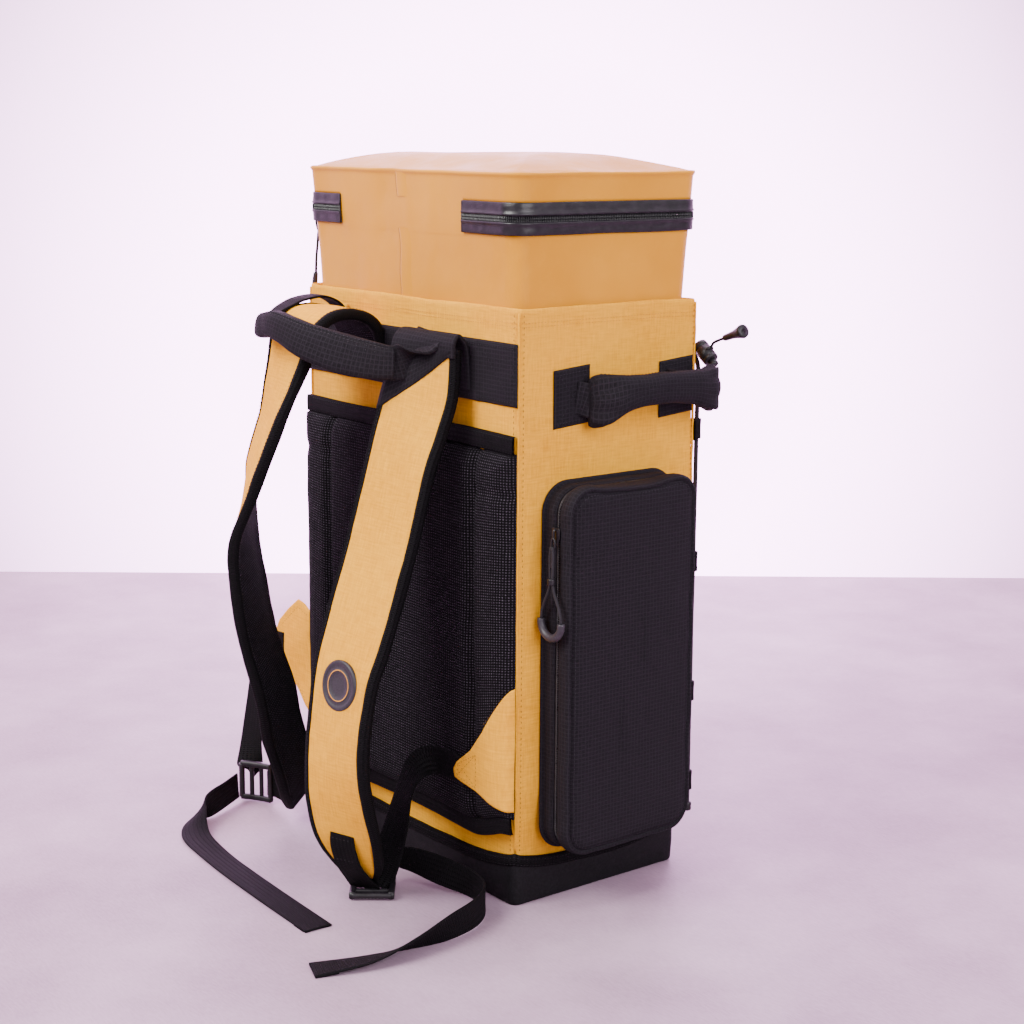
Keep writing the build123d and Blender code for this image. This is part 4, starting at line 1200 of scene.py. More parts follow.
def zip_slider(side, size, zip_side, up, depth):
    """A zip slider: two plates with a waist, a bridge over them and a wire loop."""
    a = zip_side * (size["half"] + 1.2)
    axes = (side.along, side.out, UP)
    across = zip_side * side.along
    pieces = []
    for rise, wide, long in ((2.6, 9.4, 9.0), (-3.6, 6.6, 6.0)):
        centre = side.at(a + zip_side * 0.9, up + rise, depth)
        pieces.append(box_solid("plate", (1.3, wide, long), centre, axes, 0.55, METAL, None))
    bridge = [side.at(a + zip_side * 1.4, up + 6.0, depth), side.at(a + zip_side * 3.0, up + 5.4, depth),
              side.at(a + zip_side * 3.5, up + 1.5, depth), side.at(a + zip_side * 3.0, up - 4.0, depth),
              side.at(a + zip_side * 1.4, up - 5.0, depth)]
    pieces.append(tube("bridge", smooth_path(bridge, 18), 0.95, METAL, None, up=across + 0.01))
    return pieces


def zip_pull(side, size, zip_side, up, depth):
    """A metal tab, a doubled cord with a collar, and the C-shaped grip on its end."""
    a = zip_side * (size["half"] + 4.6)

    def at(shift, high, off=0.0):
        return side.at(a + zip_side * (2.8 + off), up + high, depth + shift)

    pieces = []
    ring = [at(2.2 * sin(t), -5.5 + 5.0 * cos(t), -1.4) for t in np.linspace(0, 2 * pi, 21)]
    pieces.append(tube("tab_ring", np.array(ring), 0.8, METAL, None, up=side.along))
    bar = [at(0, -8.5, -1.4), at(0.2, -16, -0.9), at(0, -24, -0.4)]
    pieces.append(surface("tab_bar", tube_points(smooth_path(bar, 12), np.linspace(2.0, 1.5, 12), 10,
                                                 up=side.along), [METAL], None, wrap=True,
                          caps=(True, True), flip=True))
    for way in (-1, 1):
        strand = [at(way * 0.6, -7.5), at(way * 1.8, -14), at(way * 1.7, -26), at(way * 1.3, -36),
                  at(way * 3.4, -44), at(way * 8.6, -54), at(way * 11.8, -62), at(way * 12.4, -68)]
        pieces.append(tube("strand", smooth_path(strand, 44), 1.3, CORD, None, up=side.along))
    collar = [at(0, -33.5), at(0, -35.5), at(0, -38.0)]
    pieces.append(tube("collar", smooth_path(collar, 6), 3.1, MOULDING, None, up=side.along, sides=14))
    turn = np.radians(np.linspace(178, 362, 40))
    grip = np.array([at(12.9 * cos(t), -68.5 + 13.4 * sin(t)) for t in turn])
    swell = 2.9 + 0.5 * np.sin(np.linspace(0, pi, 40))
    pieces.append(tube("grip", grip, swell, GRIP, None, up=side.along, sides=14))
    return pieces


# ================================================================ side handles

PATCH_HEIGHT = 425


def cross_stitched(corner_low, corner_high, place, out, stitches):
    """A box of stitches with both diagonals; place turns (a, up) into a point."""
    (a, b), (c, d) = corner_low, corner_high
    for row in (((a, b), (c, b), (c, d), (a, d), (a, b)), ((a, b), (c, d)), ((a, d), (c, b))):
        path = resample(np.array([place(*p) for p in row]), 60)
        stitches.line(path, out, lift=0.12, thick=0.5)


def side_handle(name, side, way):
    """A padded grip with gathered ends, between two box-stitched patches."""
    stitches = Stitches()
    patches = []
    for end in (-41.0, 71.0):
        centre = way * end
        xs = np.linspace(-18.5, 18.5, 24)
        zs = np.linspace(-23.5, 23.5, 30)
        gx, gz = np.meshgrid(xs, zs)
        height = 0.4 + 1.5 * edge_round(xs, zs, 2.2)
        flat = np.stack([gx, gz, gx * 0 + centre], axis=2)
        height += 0.35 * ripple(flat, 12.0, centre)
        sewn_x = np.exp(-((np.abs(gx) - 14.5) / 0.9) ** 2)
        sewn_z = np.exp(-((np.abs(gz) - 19.5) / 0.9) ** 2)
        height -= 0.45 * (sewn_x + sewn_z)
        lean = 1.6 * gx / 18.5 * way
        points = side.at(centre + gx, PATCH_HEIGHT + gz + lean, height)
        ring = np.pad(points, ((1, 1), (1, 1), (0, 0)), mode="edge")
        for index in (0, -1):
            ring[index] -= side.out * ((ring[index] - side.origin) @ side.out)[:, None]
            ring[:, index] -= side.out * ((ring[:, index] - side.origin) @ side.out)[:, None]
        patches.append(surface("patch", ring, [RIPSTOP]))

        def place(a, up, at=centre):
            return side.at(at + a, PATCH_HEIGHT + up + 1.6 * a / 18.5 * way, 2.05)

        cross_stitched((-14.5, -19.5), (14.5, 19.5), place, side.out, stitches)
    joined(f"side_patches_{name}", patches, "bag")
    stitches.make(f"patch_stitches_{name}", BLACK_THREAD, "bag")

    # the grip: its section is given by height, thickness and lean at shares of its length
    keys = np.array([[-30, 9, 35, 6, -7], [-27, 11.5, 40, 12, -6.5], [-21, 15.5, 41, 18, -5.5],
                     [-13, 20, 38, 19.5, -3], [-4, 24, 31, 19, 0], [8, 27.5, 27, 18, 2],
                     [24, 29.5, 26, 17.5, 3], [44, 30, 27, 17.5, 2.5], [62, 29.5, 29, 18, 1],
                     [74, 28.5, 33, 19.5, -1], [84, 26.5, 37, 20, -2], [92, 23.5, 38, 17, -2],
                     [96, 21, 33, 8, -1]], float)
    rows = resample(smooth_path_wide(keys, 90), 90)
    around = 40
    turn = np.linspace(0, 2 * pi, around, endpoint=False)
    points = np.zeros((len(rows), around, 3))
    for index, (a, depth, tall, thick, rise) in enumerate(rows):
        c, s = np.cos(turn), np.sin(turn)
        squash = 0.78
        up = np.sign(s) * np.abs(s) ** squash * tall / 2
        off = np.sign(c) * np.abs(c) ** squash * thick / 2
        points[index] = side.at(way * a, 427 + rise + up, depth + off)
    ends = np.abs(rows[:, 0:1] - 33.0) / 63.0
    away = unit(points - points.mean(1, keepdims=True))
    gathers = np.sin(turn * 7 + 1.1)[None] * 1.5 * ease(ends, 0.62, 0.88)
    lumps = ripple(points, 15.0, way + 4.0) * 0.9 + ripple(points * (0.5, 0.5, 1.0), 7.0, 2.0) * 0.4
    points += away * (gathers + lumps - 0.4)[..., None]
    grip = surface(f"side_grip_{name}", points, [RIPSTOP], f"side_handle_{name}", wrap=True,
                   caps=(True, True), flip=way > 0)
    thread = Stitches()
    line = points[8:-8, int(around * 0.31)]
    thread.line(line + unit(away[8:-8, int(around * 0.31)]) * 0.1, unit(away[8:-8, int(around * 0.31)]))
    thread.make(f"side_grip_stitches_{name}", BLACK_THREAD, f"side_handle_{name}")
    for label, course in (("near", ((-38, 424, 1.6), (-33, 423, 4.5), (-28, 421, 9.5), (-21, 421, 14.5))),
                          ("far", ((60, 427, 1.6), (59, 427, 8.0), (61, 427, 16.0), (67, 427, 23.0)))):
        stations = [(side.at(way * a, up, d), UP, 27.0) for a, up, d in course]
        _, ear = web(f"side_ear_{label}_{name}", stations, None, 20, 2.0, RIPSTOP, 2.0, 0.3)
        slack(side.at(way * course[0][0], 427, 3.0))
        slack(side.at(way * course[3][0], 427, course[3][2]))
        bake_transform(ear)


# ================================================================ shoulder straps

def turned(angle):
    """A level direction, turned clockwise from +X by an angle in degrees."""
    return (cos(radians(angle)), -sin(radians(angle)), 0)


RIGHT_STRAP = [
    ((59.5, -112, 462), turned(-6), 72), ((59.5, -121, 425), turned(-16), 75),
    ((59.5, -132, 394), turned(-16), 75), ((59.5, -143, 362), turned(-12), 75),
    ((59.5, -162, 297), turned(-13), 75), ((59.5, -186, 228), turned(-13), 75),
    ((59.5, -197, 195), turned(-8), 75), ((59.5, -204, 152), turned(-6), 75),
    ((59.5, -206, 120), turned(-8), 75), ((58, -202, 88), turned(-14), 74),
    ((56, -194, 58), turned(-20), 68), ((53, -183, 34), turned(-24), 52),
    ((50, -174, 20), turned(-28), 34)]
LEFT_STRAP = [
    ((-59.5, -168, 462), turned(4), 72), ((-60, -174, 440), turned(8), 75),
    ((-64, -188, 395), turned(19), 75), ((-80, -199, 340), turned(26), 75),
    ((-96, -200, 290), turned(43), 75), ((-101, -193, 240), turned(48), 75),
    ((-106, -181, 190), turned(49), 75), ((-107, -166, 140), turned(51), 74),
    ((-119, -150, 95), turned(53), 70), ((-128, -134, 52), turned(56), 58),
    ((-142, -122, 22), turned(60), 38)]
LEFT_CREST = [
    ((-59.5, -98.8, 436), (1, 0, 0), 64), ((-59.5, -100, 457), (1, 0, 0), 65),
    ((-59.5, -107, 471), (1, 0, 0), 67), ((-59.5, -121, 479), (1, 0, 0), 69),
    ((-59.5, -140, 481), (1, 0, 0), 71), ((-59.5, -156, 476), (1, 0, 0), 72)]


def strap(stations, seed):
    """A padded strap: canvas outside, mesh inside and a tape bound round each edge."""
    band = Band(stations, 150)
    sign = -1.0
    binding, thick = 6.5, 4.2
    face = [(x, 0, sign * (thick + 0.9 * (1 - x * x))) for x in np.linspace(-0.8, 0.8, 17)]
    section = [(-1, binding, sign * (thick + 0.1))] + face + [(1, binding, sign * (thick + 0.1))]
    left_edge = [(-1, 0.4, sign * 2.6), (-1, 1.8, sign * (thick + 0.5)), (-1, 4.2, sign * (thick + 1.1)),
                 (-1, binding - 0.3, sign * (thick + 0.8))]
    right_edge = [(1, binding - 0.3, sign * (thick + 0.8)), (1, 4.2, sign * (thick + 1.1)),
                  (1, 1.8, sign * (thick + 0.5)), (1, 0.4, sign * 2.6)]
    inside = [(x, 0, -sign * (thick + 1.2 * (1 - x * x))) for x in np.linspace(0.78, -0.78, 15)]
    back_right = [(1, 0.0, 0.0), (1, 0.4, -sign * 2.6), (1, 1.8, -sign * (thick + 0.3)),
                  (1, 4.0, -sign * (thick + 0.7)), (1, binding - 0.5, -sign * (thick + 0.4))]
    back_left = [(-1, binding - 0.5, -sign * (thick + 0.4)), (-1, 4.0, -sign * (thick + 0.7)),
                 (-1, 1.8, -sign * (thick + 0.3)), (-1, 0.4, -sign * 2.6), (-1, 0.0, 0.0)]
    loop = left_edge + section + right_edge + back_right + inside + back_left
    canvas_from, canvas_to = len(left_edge), len(left_edge) + len(section) - 1
    mesh_from = canvas_to + 1 + len(right_edge) + len(back_right) - 1
    mesh_to = mesh_from + len(inside) + 1

    def slot(row, column):
        if canvas_from <= column < canvas_to:
            return 0
        return 2 if mesh_from <= column < mesh_to else 1

    points = band.skin(loop)
    lifts = np.sign([lift for _, _, lift in loop])
    soft = ripple(points, 42.0, seed) * 0.9 + ripple(points, 13.0, seed + 3) * 0.35
    points += band.out[:, None] * (soft * lifts[None])[..., None]
    return band, sign, points, slot


CREST_FROM = (-59.5, -122, 480)
CREST_TO = (-60, -171, 460)


def finish_strap(name, stations, seed, crest=()):
    """One padded strap; crest is the part that bends over from the bag's anchor band."""
    band, sign, points, slot = strap(list(crest) + stations, seed)
    body = f"strap_{name}"
    made = surface(f"strap_look_{name}", points, [CANVAS, BINDING, MESH], None if crest else body,
                   wrap=True, caps=(True, True), slot_of=slot)
    if crest:
        slack(CREST_FROM)
        slack(CREST_TO)
        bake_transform(made)
    stitches = Stitches()
    for edge in (-1, 1):
        for gap, lift in ((5.4, sign * 5.35), (5.4, -sign * 4.9)):
            path = [band.at(s, edge * (np.interp(s, band.run, band.width) / 2 - gap), lift)
                    for s in band.run[3:-3]]
            outs = np.array([np.sign(lift) * band.out[i] for i in range(3, len(band.run) - 3)])
            stitches.line(path, outs, lift=0.1, pitch=3.4, long=2.2, thick=0.5)
    sewn = stitches.make(f"strap_stitches_{name}", GREY_THREAD, None if crest else body)
    if crest:
        slack(CREST_FROM)
        slack(CREST_TO)
        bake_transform(sewn)


def badge():
    """A plain round patch with a stitched edge and a thin ring; nothing is printed on it."""
    centre = np.array((60.0, -202.6, 191.0))
    out = unit((0.12, -0.98, 0.16))
    across = unit(np.array(turned(-7)) - np.dot(turned(-7), out) * out)
    rise = np.cross(out, across)
    turn = np.linspace(0, 2 * pi, 73)[:-1]
    profile = [(20.6, -1.5), (21.0, 0.6), (20.6, 1.5), (19.8, 1.9), (17.6, 1.95), (17.2, 1.6), (13.4, 1.6),
               (13.0, 1.95), (12.2, 1.95), (11.8, 1.6), (6.0, 1.65), (1.0, 1.7)]
    ring_row = profile.index((13.0, 1.95))
    rows = []
    for radius, lift in profile:
        ring = (np.cos(turn)[:, None] * across + np.sin(turn)[:, None] * rise) * radius
        bend = -((ring @ across) ** 2) / 900.0
        rows.append(centre + ring + out * (lift + bend)[:, None])
    surface("strap_badge_look", np.array(rows), [BADGE, TAN_THREAD], "strap_right", wrap=True,
            caps=(False, True), slot_of=lambda r, c: int(r == ring_row))


def web(name, stations, body=None, count=120, thick=1.6, material=None, seed=0.0, fold=0.5):
    """Flat webbing along stations, with woven edges and a slight cup across it."""
    band = Band(stations, count)
    half = thick / 2
    lip = half + 0.12
    section = [(-1, 0.0, 0.0), (-1, 0.3, half), (-1, 1.8, lip), (-0.4, 0, half), (0, 0, half),
               (0.4, 0, half), (1, 1.8, lip), (1, 0.3, half), (1, 0.0, 0.0), (1, 0.3, -half),
               (1, 1.8, -lip), (0.4, 0, -half), (0, 0, -half), (-0.4, 0, -half), (-1, 1.8, -lip),
               (-1, 0.3, -half)]
    points = band.skin(section)
    cup = np.array([share * share for share, _, _ in section])
    depth = fold * cup[None] * (0.6 + 0.4 * ripple(band.centre, 50.0, seed))[:, None]
    points += band.out[:, None] * depth[..., None]
    return band, surface(name, points, [material or WEBBING], body, wrap=True, caps=(True, True))


def slack(p):
    return tuple(v * MM for v in p)


def yokes():
    """The cloth that carries the right strap over from the band, and a small sewn tag."""
    right = [((59.5, -97.6, 428), (1, 0, 0), 72), ((59.5, -98.6, 446), (1, 0, 0), 72),
             ((59.5, -101, 463), (1, 0, 0), 73), ((59.5, -106, 471), (1, -0.04, 0), 74),
             ((59.5, -112, 472), (1, 0.05, 0), 75),
             ((59.5, -117.5, 466), (1, 0.1, 0), 75), ((59.5, -119.5, 455), (1, 0.16, 0), 74)]
    _, first = web("yoke_right", right, None, 70, 3.0, CLOTH, 1.0, 0.2)
    slack((59.5, -104, 471))
    slack((59.5, -119, 456))
    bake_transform(first)
    web("haul_tag", [((-101, -96.8, 478.6), (0, 0, 1), 10), ((-94, -97.8, 478.6), (0, 0, 1), 10),
                     ((-87, -96.8, 478.6), (0, 0, 1), 10)], "bag", 12, 1.4, CANVAS)


def strap_cloth():
    """The black cloth folded over the head of the right strap, cut off on the slant."""
    band = Band(RIGHT_STRAP, 150)
    rows, columns = 26, 28
    points = np.zeros((rows, columns, 3))
    under = np.zeros((rows, columns, 3))
    for j, share in enumerate(np.linspace(-1.0, 1.0, columns)):
        # it ends 3 mm down the strap on its right edge and 62 mm down on its left
        stop = 3.0 + 60.0 * ((1 - share) / 2) ** 1.15
        for i, t in enumerate(np.linspace(0, 1, rows)):
            s = stop * t
            half = np.interp(s, band.run, band.width) / 2 + 0.8
            lift = -(6.4 + 0.7 * sin(t * pi)) + (1.2 if i == rows - 1 else 0.0)
            edge = 3.4 * max(abs(share) - 0.86, 0) / 0.14
            points[i, j] = band.at(s, share * half, lift + edge)
            under[i, j] = band.at(s, share * half, lift + edge + 1.4)
    points += band.out[10] * (ripple(points, 20.0, 3.0) * 0.6)[..., None]
    closed = np.concatenate([points, under[::-1]], axis=0)
    surface("strap_cloth_right", closed, [CLOTH], "strap_right")


def haul_handle():
    """The padded grab handle: a flat bar rolled from one cloth, seamed along its upper edge."""
    keys = np.array([[-92, -175, 469, 8, 4], [-89, -180, 469, 14, 8], [-82, -185, 470.5, 18, 12],
                     [-70, -189.5, 472, 21, 14.5], [-50, -192.5, 474.5, 23, 15.5], [-30, -192, 471, 25, 16],
                     [-10, -186.5, 464, 29, 16], [8, -175, 457, 31, 15.5], [22, -161.5, 452, 31, 14.5],
                     [34, -147, 448.5, 30, 13], [42, -135, 447.5, 27, 10]], float)
    rows = smooth_path_wide(keys, 130)
    centre = rows[:, :3]
    tangent = unit(np.gradient(centre, axis=0))
    upright = unit(np.array((0, 0, 1.0)) - tangent * tangent[:, 2:3])
    outward = np.cross(upright, tangent)
    outward *= -np.sign(outward[:, 1:2])
    around = 44
    turn = np.linspace(0, 2 * pi, around, endpoint=False)
    c, s = np.cos(turn), np.sin(turn)
    across = np.sign(c) * np.abs(c) ** 0.72
    tall = np.sign(s) * np.abs(s) ** 0.66
    points = (centre[:, None] + upright[:, None] * (tall[None] * rows[:, 3:4] / 2)[..., None]
              + outward[:, None] * (across[None] * rows[:, 4:5] / 2)[..., None]
              - outward[:, None] * ((tall[None] * 3.0) * (rows[:, 3:4] / 40))[..., None])
    away = unit(points - centre[:, None])
    seam = np.exp(-((turn - 0.98) / 0.07) ** 2)
    points -= away * (1.5 * seam[None] * ease(rows[:, 3:4], 14, 26))[..., None]
    points += away * (ripple(points, 30.0, 6.0) * 1.1 + ripple(points, 11.0, 2.0) * 0.4)[..., None]
    order = np.cross(points[60, 1] - points[60, 0], points[61, 0] - points[60, 0])
    flip = float(order @ away[60, 0]) < 0
    bar = surface("haul_handle_look", points, [CLOTH], "haul_handle", wrap=True, caps=(True, True),
                  flip=flip)
    stitches = Stitches()
    for at in (0.86, 1.11):
        column = int(round(at / (2 * pi) * around))
        stitches.line(points[6:-4, column] + away[6:-4, column] * 0.1, away[6:-4, column], lift=0.1)
    for row in (98, 104, 110, 116):
        stitches.line(points[row, 2:9] + away[row, 2:9] * 0.1, away[row, 2:9], pitch=2.6, long=1.8)
    stitches.make("haul_handle_stitches", GREY_THREAD, "haul_handle")
    # the cloth that joins the bar's right end to the strap, and its left end to the left crest
    join = [((34, -148, 447), (0.05, 0.2, 1), 27), ((42, -136, 447), (0.1, 0.3, 1), 28),
            ((49, -127, 451), (0.5, 0.2, 0.9), 30), ((55, -119, 459), (0.8, 0.2, 0.5), 34),
            ((59, -113, 467), (1, 0.1, 0.1), 44), ((60, -107, 471.5), (1, 0, 0), 52)]
    _, piece = web("haul_join_right", join, None, 60, 3.4, CLOTH, 4.0, 1.4)
    slack((54, -120, 457))
    slack((36, -145, 447))
    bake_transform(piece)
    loop = [((-96, -97.2, 466), (1, 0, 0), 22), ((-96, -98.4, 476), (1, 0, 0), 22),
            ((-96, -104.5, 485), (1, 0, 0), 22), ((-96, -120, 491.5), (1, 0, 0), 22),
            ((-95, -140, 490), (1, 0, 0), 22), ((-95, -152, 486), (1, 0, 0), 21),
            ((-94, -163, 481), (1, 0.1, 0.1), 19), ((-92.5, -172, 476), (1, 0.3, 0.5), 16),
            ((-90, -179, 471), (0.5, 0.3, 1), 14)]
    _, piece = web("haul_join_left", loop, None, 60, 1.8, WEBBING, 5.0, 0.6)
    slack((-95, -135, 490))
    slack((-93, -174, 474))
    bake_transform(piece)


def tabs():
    """The short webs that hold the buckles; the right one is folded through its buckle's upper bar and sewn.
    """
    right = [((57.5, -200.5, 62), turned(-19), 24), ((56.8, -199.2, 50), turned(-22), 25),
             ((55.0, -192.5, 32), turned(-25), 25), ((53.2, -182, 17), turned(-30), 25),
             ((52.0, -177.5, 11.5), turned(-36), 25), ((50.8, -174.5, 8.5), turned(-38), 25)]
    web("tab_right_look", right, "strap_right", 50, 1.8, seed=3.0, fold=0.1)
    back = [((54.6, -183, 34), turned(-24), 25), ((52.8, -176.5, 19), turned(-30), 25),
            ((50.8, -173.0, 10.5), turned(-36), 25), ((49.9, -173.5, 6.0), turned(-38), 25)]
    web("tab_right_fold", back, "strap_right", 40, 1.6, seed=4.0, fold=0.1)
    left = [((-146, -129.5, 30), (0.25, -0.1, 1), 25), ((-157, -124.5, 24.5), (0.12, 0, 1), 25),
            ((-168, -123.8, 21), (0, 0, 1), 25), ((-183, -123.5, 20), (0, 0, 1), 25),
            ((-190.5, -126.6, 20), (0, 0, 1), 25)]
    web("tab_left_look", left, "strap_left", 50, 1.8, seed=5.0, fold=0.1)
    stitches = Stitches()
    out = unit((-0.33, -0.9, 0.1))
    for z, y, x in ((58, -201.8, 57.3), (38, -196.4, 55.8)):
        ends = [np.array((x, y, z)) + np.array(turned(-22)) * d for d in (-9.5, 9.5)]
        stitches.line(ends, out, lift=0.4)
    stitches.make("tab_stitches", GREY_THREAD, "strap_right")


def buckle(name, centre, along, across, body):
    """A ladder-lock buckle: two curved rails, three round bars and a lifted thumb tab."""
    centre = np.array(centre, float)
    across = unit(across)
    along = unit(along)
    out = np.cross(across, along)
    pieces = []
    for way in (-1, 1):
        rail = [centre + across * way * 16.4 + along * t + out * (1.6 * (t / 16.5) ** 2 - 0.5)
                for t in np.linspace(-16.0, 16.0, 15)]
        band = Band([(p, out, 6.6) for p in rail], 30)
        wide = 2.5
        low = wide * 0.7
        section = [(-1, 0, 0), (-1, 0.5, low), (-0.7, 0, wide), (0.7, 0, wide), (1, 0.5, low),
                   (1, 0, 0), (1, 0.5, -low), (0.7, 0, -wide), (-0.7, 0, -wide), (-1, 0.5, -low)]
        pieces.append(surface("rail", band.skin(section), [MOULDING], None, wrap=True, caps=(True, True)))
    for at, radius, lift in ((-15.0, 2.5, 0.6), (-4.7, 2.1, -0.6), (5.4, 2.3, -0.2), (15.2, 2.8, 1.6)):
        bar = np.array([centre + across * t + along * at + out * lift for t in np.linspace(-16.5, 16.5, 24)])
        ribs = 0.18 * np.sin(np.linspace(0, 24 * pi, 24)) if radius > 2.4 else 0.0
        pieces.append(tube("bar", bar, radius + ribs, MOULDING, None, sides=14, up=out + 0.01))
    return joined(f"{name}_look", pieces, body)


def lower_webs():
    """The adjusting webs from the wings to the buckles."""
    right = [((106, -108.4, 109), (0, 0, 1), 23), ((92, -108.6, 111), (0, 0, 1), 24),
             ((80, -110.6, 112), (0, 0, 1), 25), ((70, -113.5, 112.5), (-0.1, -0.1, 1), 25),
             ((63.5, -121, 111), (-0.4, 0.0, 0.85), 25), ((60.5, -131, 103), (-0.75, 0.15, 0.5), 25),
             ((59, -139, 86), (-0.95, 0.1, 0.2), 25),
             ((58, -147, 56), (-0.9, -0.3, 0), 25), ((55, -155, 28), (-0.75, -0.65, 0), 25),
             ((52, -160, 13), (-0.6, -0.79, 0), 25), ((51, -163.5, 7), (-0.6, -0.79, 0), 25)]
    left = [((-200, -99.9, 150), (0.1, 0, 1), 25), ((-212, -100.2, 149), (0.2, 0, 1), 25),
            ((-227, -101, 146), (-0.4, 0, 1), 25), ((-236, -104, 132), (-0.9, 0, 0.5), 25),
            ((-238.5, -107, 114), (-1, 0, 0.15), 25), ((-236, -112, 90), (-1, -0.1, 0), 25),
            ((-228, -122, 52), (-0.9, -0.2, 0.3), 25), ((-218, -130, 28), (-0.5, -0.1, 0.9), 25),
            ((-209, -132, 21), (-0.1, -0.1, 1), 25)]
    for name, stations, body, start, end in (
            ("right", right, "strap_right", (61, -126, 107), (52, -160, 13)),
            ("left", left, "strap_left", (-238, -104, 126), (-217, -131, 26))):
        _, piece = web(f"lower_web_{name}", stations, None, 110, 1.6, seed=6.0)
        slack(start)
        slack(end)
        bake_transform(piece)


TAIL_RIGHT = [((47, -157, 12), (0.6, 0.79, 0), 25), ((46, -147, 21), (0.7, 0.6, 0.4), 25),
              ((56, -133, 24), (0.5, 0.1, 0.85), 25), ((84, -117, 18), (0, 0.2, 1), 25),
              ((112, -108, 14), (0, 0, 1), 25), ((140, -115, 13.5), (0, 0, 1), 25),
              ((160, -138, 13.5), (0, 0, 1), 25), ((170, -170, 13), (0.2, 0, 1), 25),
              ((171, -206, 9.5), (0.7, 0, 0.7), 25), ((166, -246, 4.5), (1, 0.1, 0.25), 25),
              ((151, -288, 1.6), (1, -0.2, 0), 25)]
TAIL_LEFT = [((-207, -150, 18), (0, 0, 1), 25), ((-197, -169, 16), (0, 0, 1), 25),
             ((-187, -190, 14), (0, 0, 1), 25), ((-178, -209, 11), (0.5, 0.5, 0.7), 25),
             ((-150, -226, 4), (0.3, 1, 0.2), 25), ((-104, -233, 1.6), (0.1, 1, 0), 25),
             ((-40, -238, 1.4), (0.05, 1, 0), 25), ((30, -241, 1.4), (0.05, 1, 0), 25),
             ((88, -243, 1.4), (0.12, 1, 0), 25)]


def tails():
    """The loose ends of the adjusting webs, each with a turned and sewn hem."""
    for name, stations, body in (("right", TAIL_RIGHT, "strap_right"), ("left", TAIL_LEFT, "strap_left")):
        band, piece = web(f"tail_look_{name}", stations, body, 200, 1.6, seed=7.0, fold=0.35)
        length = band.run[-1]
        end = Band(stations, 200)
        keep = end.run > length - 19
        hem_rows = [(tuple(c + o * 0.9), tuple(a), 25.2) for c, a, o, k in
                    zip(end.centre, end.across, end.out, keep) if k]
        _, hem = web(f"tail_hem_{name}", hem_rows[::3], body, 16, 1.6, seed=8.0, fold=0.35)
        slack(band.centre[0])
        [slack(p) for p in band.centre]


# ================================================================ the box

def box_rows(zs, offset=0.0):
    """Rows of the box's outer face at some heights."""
    return [(*box_half(z), BOX_CORNER, z, offset) for z in zs]


def box_soft(points, outs):
    """The welded skin's slack: broad dents beside the corners and faint upright folds."""
    z = points[..., 2]
    dents = ripple(points * (1, 1, 0.7), 80.0, 11.0) * 2.0 + ripple(points * (1, 1, 0.4), 34.0, 6.0) * 0.55
    pleat = ripple(points * (1, 1, 0.12), 13.0, 2.0) * 0.28
    calm = 1.0 - 0.75 * np.exp(-((z - ZIP_LEVEL) / 16.0) ** 2)
    return points + outs * np.clip((dents - 0.3) * calm + pleat, -0.9, 2.4)[..., None]


def box_skin():
    """The welded skin of the cooler box, up to the zip."""
    zs = [48.2, 50, 60] + list(np.linspace(80, 470, 24)) + list(np.linspace(478, 552, 26)) + [553.5]
    foot = box_half(48.2)
    rows = [(*foot, BOX_CORNER, 47.5, -5.0), (*foot, BOX_CORNER, 47.6, -2.0)] + box_rows(zs)
    rows += [(*box_half(553.5), BOX_CORNER, 553.6, -1.4)]
    points, outs = stacked(rows, along_x=80, along_y=54, corner=14)
    points[2:-1] = box_soft(points, outs)[2:-1]
    surface("cooler_skin", points, [BOX_SKIN], "cooler", wrap=True, caps=(True, False))


def zip_runs(offset):
    """The lid zip's course round the box: (x, y) points and outward directions, hinge side open."""
    hx, hy = box_half(ZIP_LEVEL)
    ring, outs = rounded_ring(hx, hy, BOX_CORNER, along_x=110, along_y=70, corner=16)
    back = (ring[:, 1] < -hy + 0.01) & (ring[:, 0] > HINGE_FROM) & (ring[:, 0] < HINGE_TO)
    order = np.where(~back)[0]
    gap = np.where(np.diff(order) > 1)[0]
    if len(gap):
        order = np.concatenate([order[gap[0] + 1:], order[:gap[0] + 1]])
    ring, outs = ring[order], outs[order]
    ring = np.vstack([[HINGE_TO, -hy], ring, [HINGE_FROM, -hy]])
    outs = np.vstack([[0, -1.0], outs, [0, -1.0]])
    path = resample(np.column_stack([ring, np.zeros(len(ring)), outs]), 420)
    facing = np.column_stack([path[:, 3:], np.zeros(len(path))])
    return path[:, :3] + facing * offset, unit(facing)


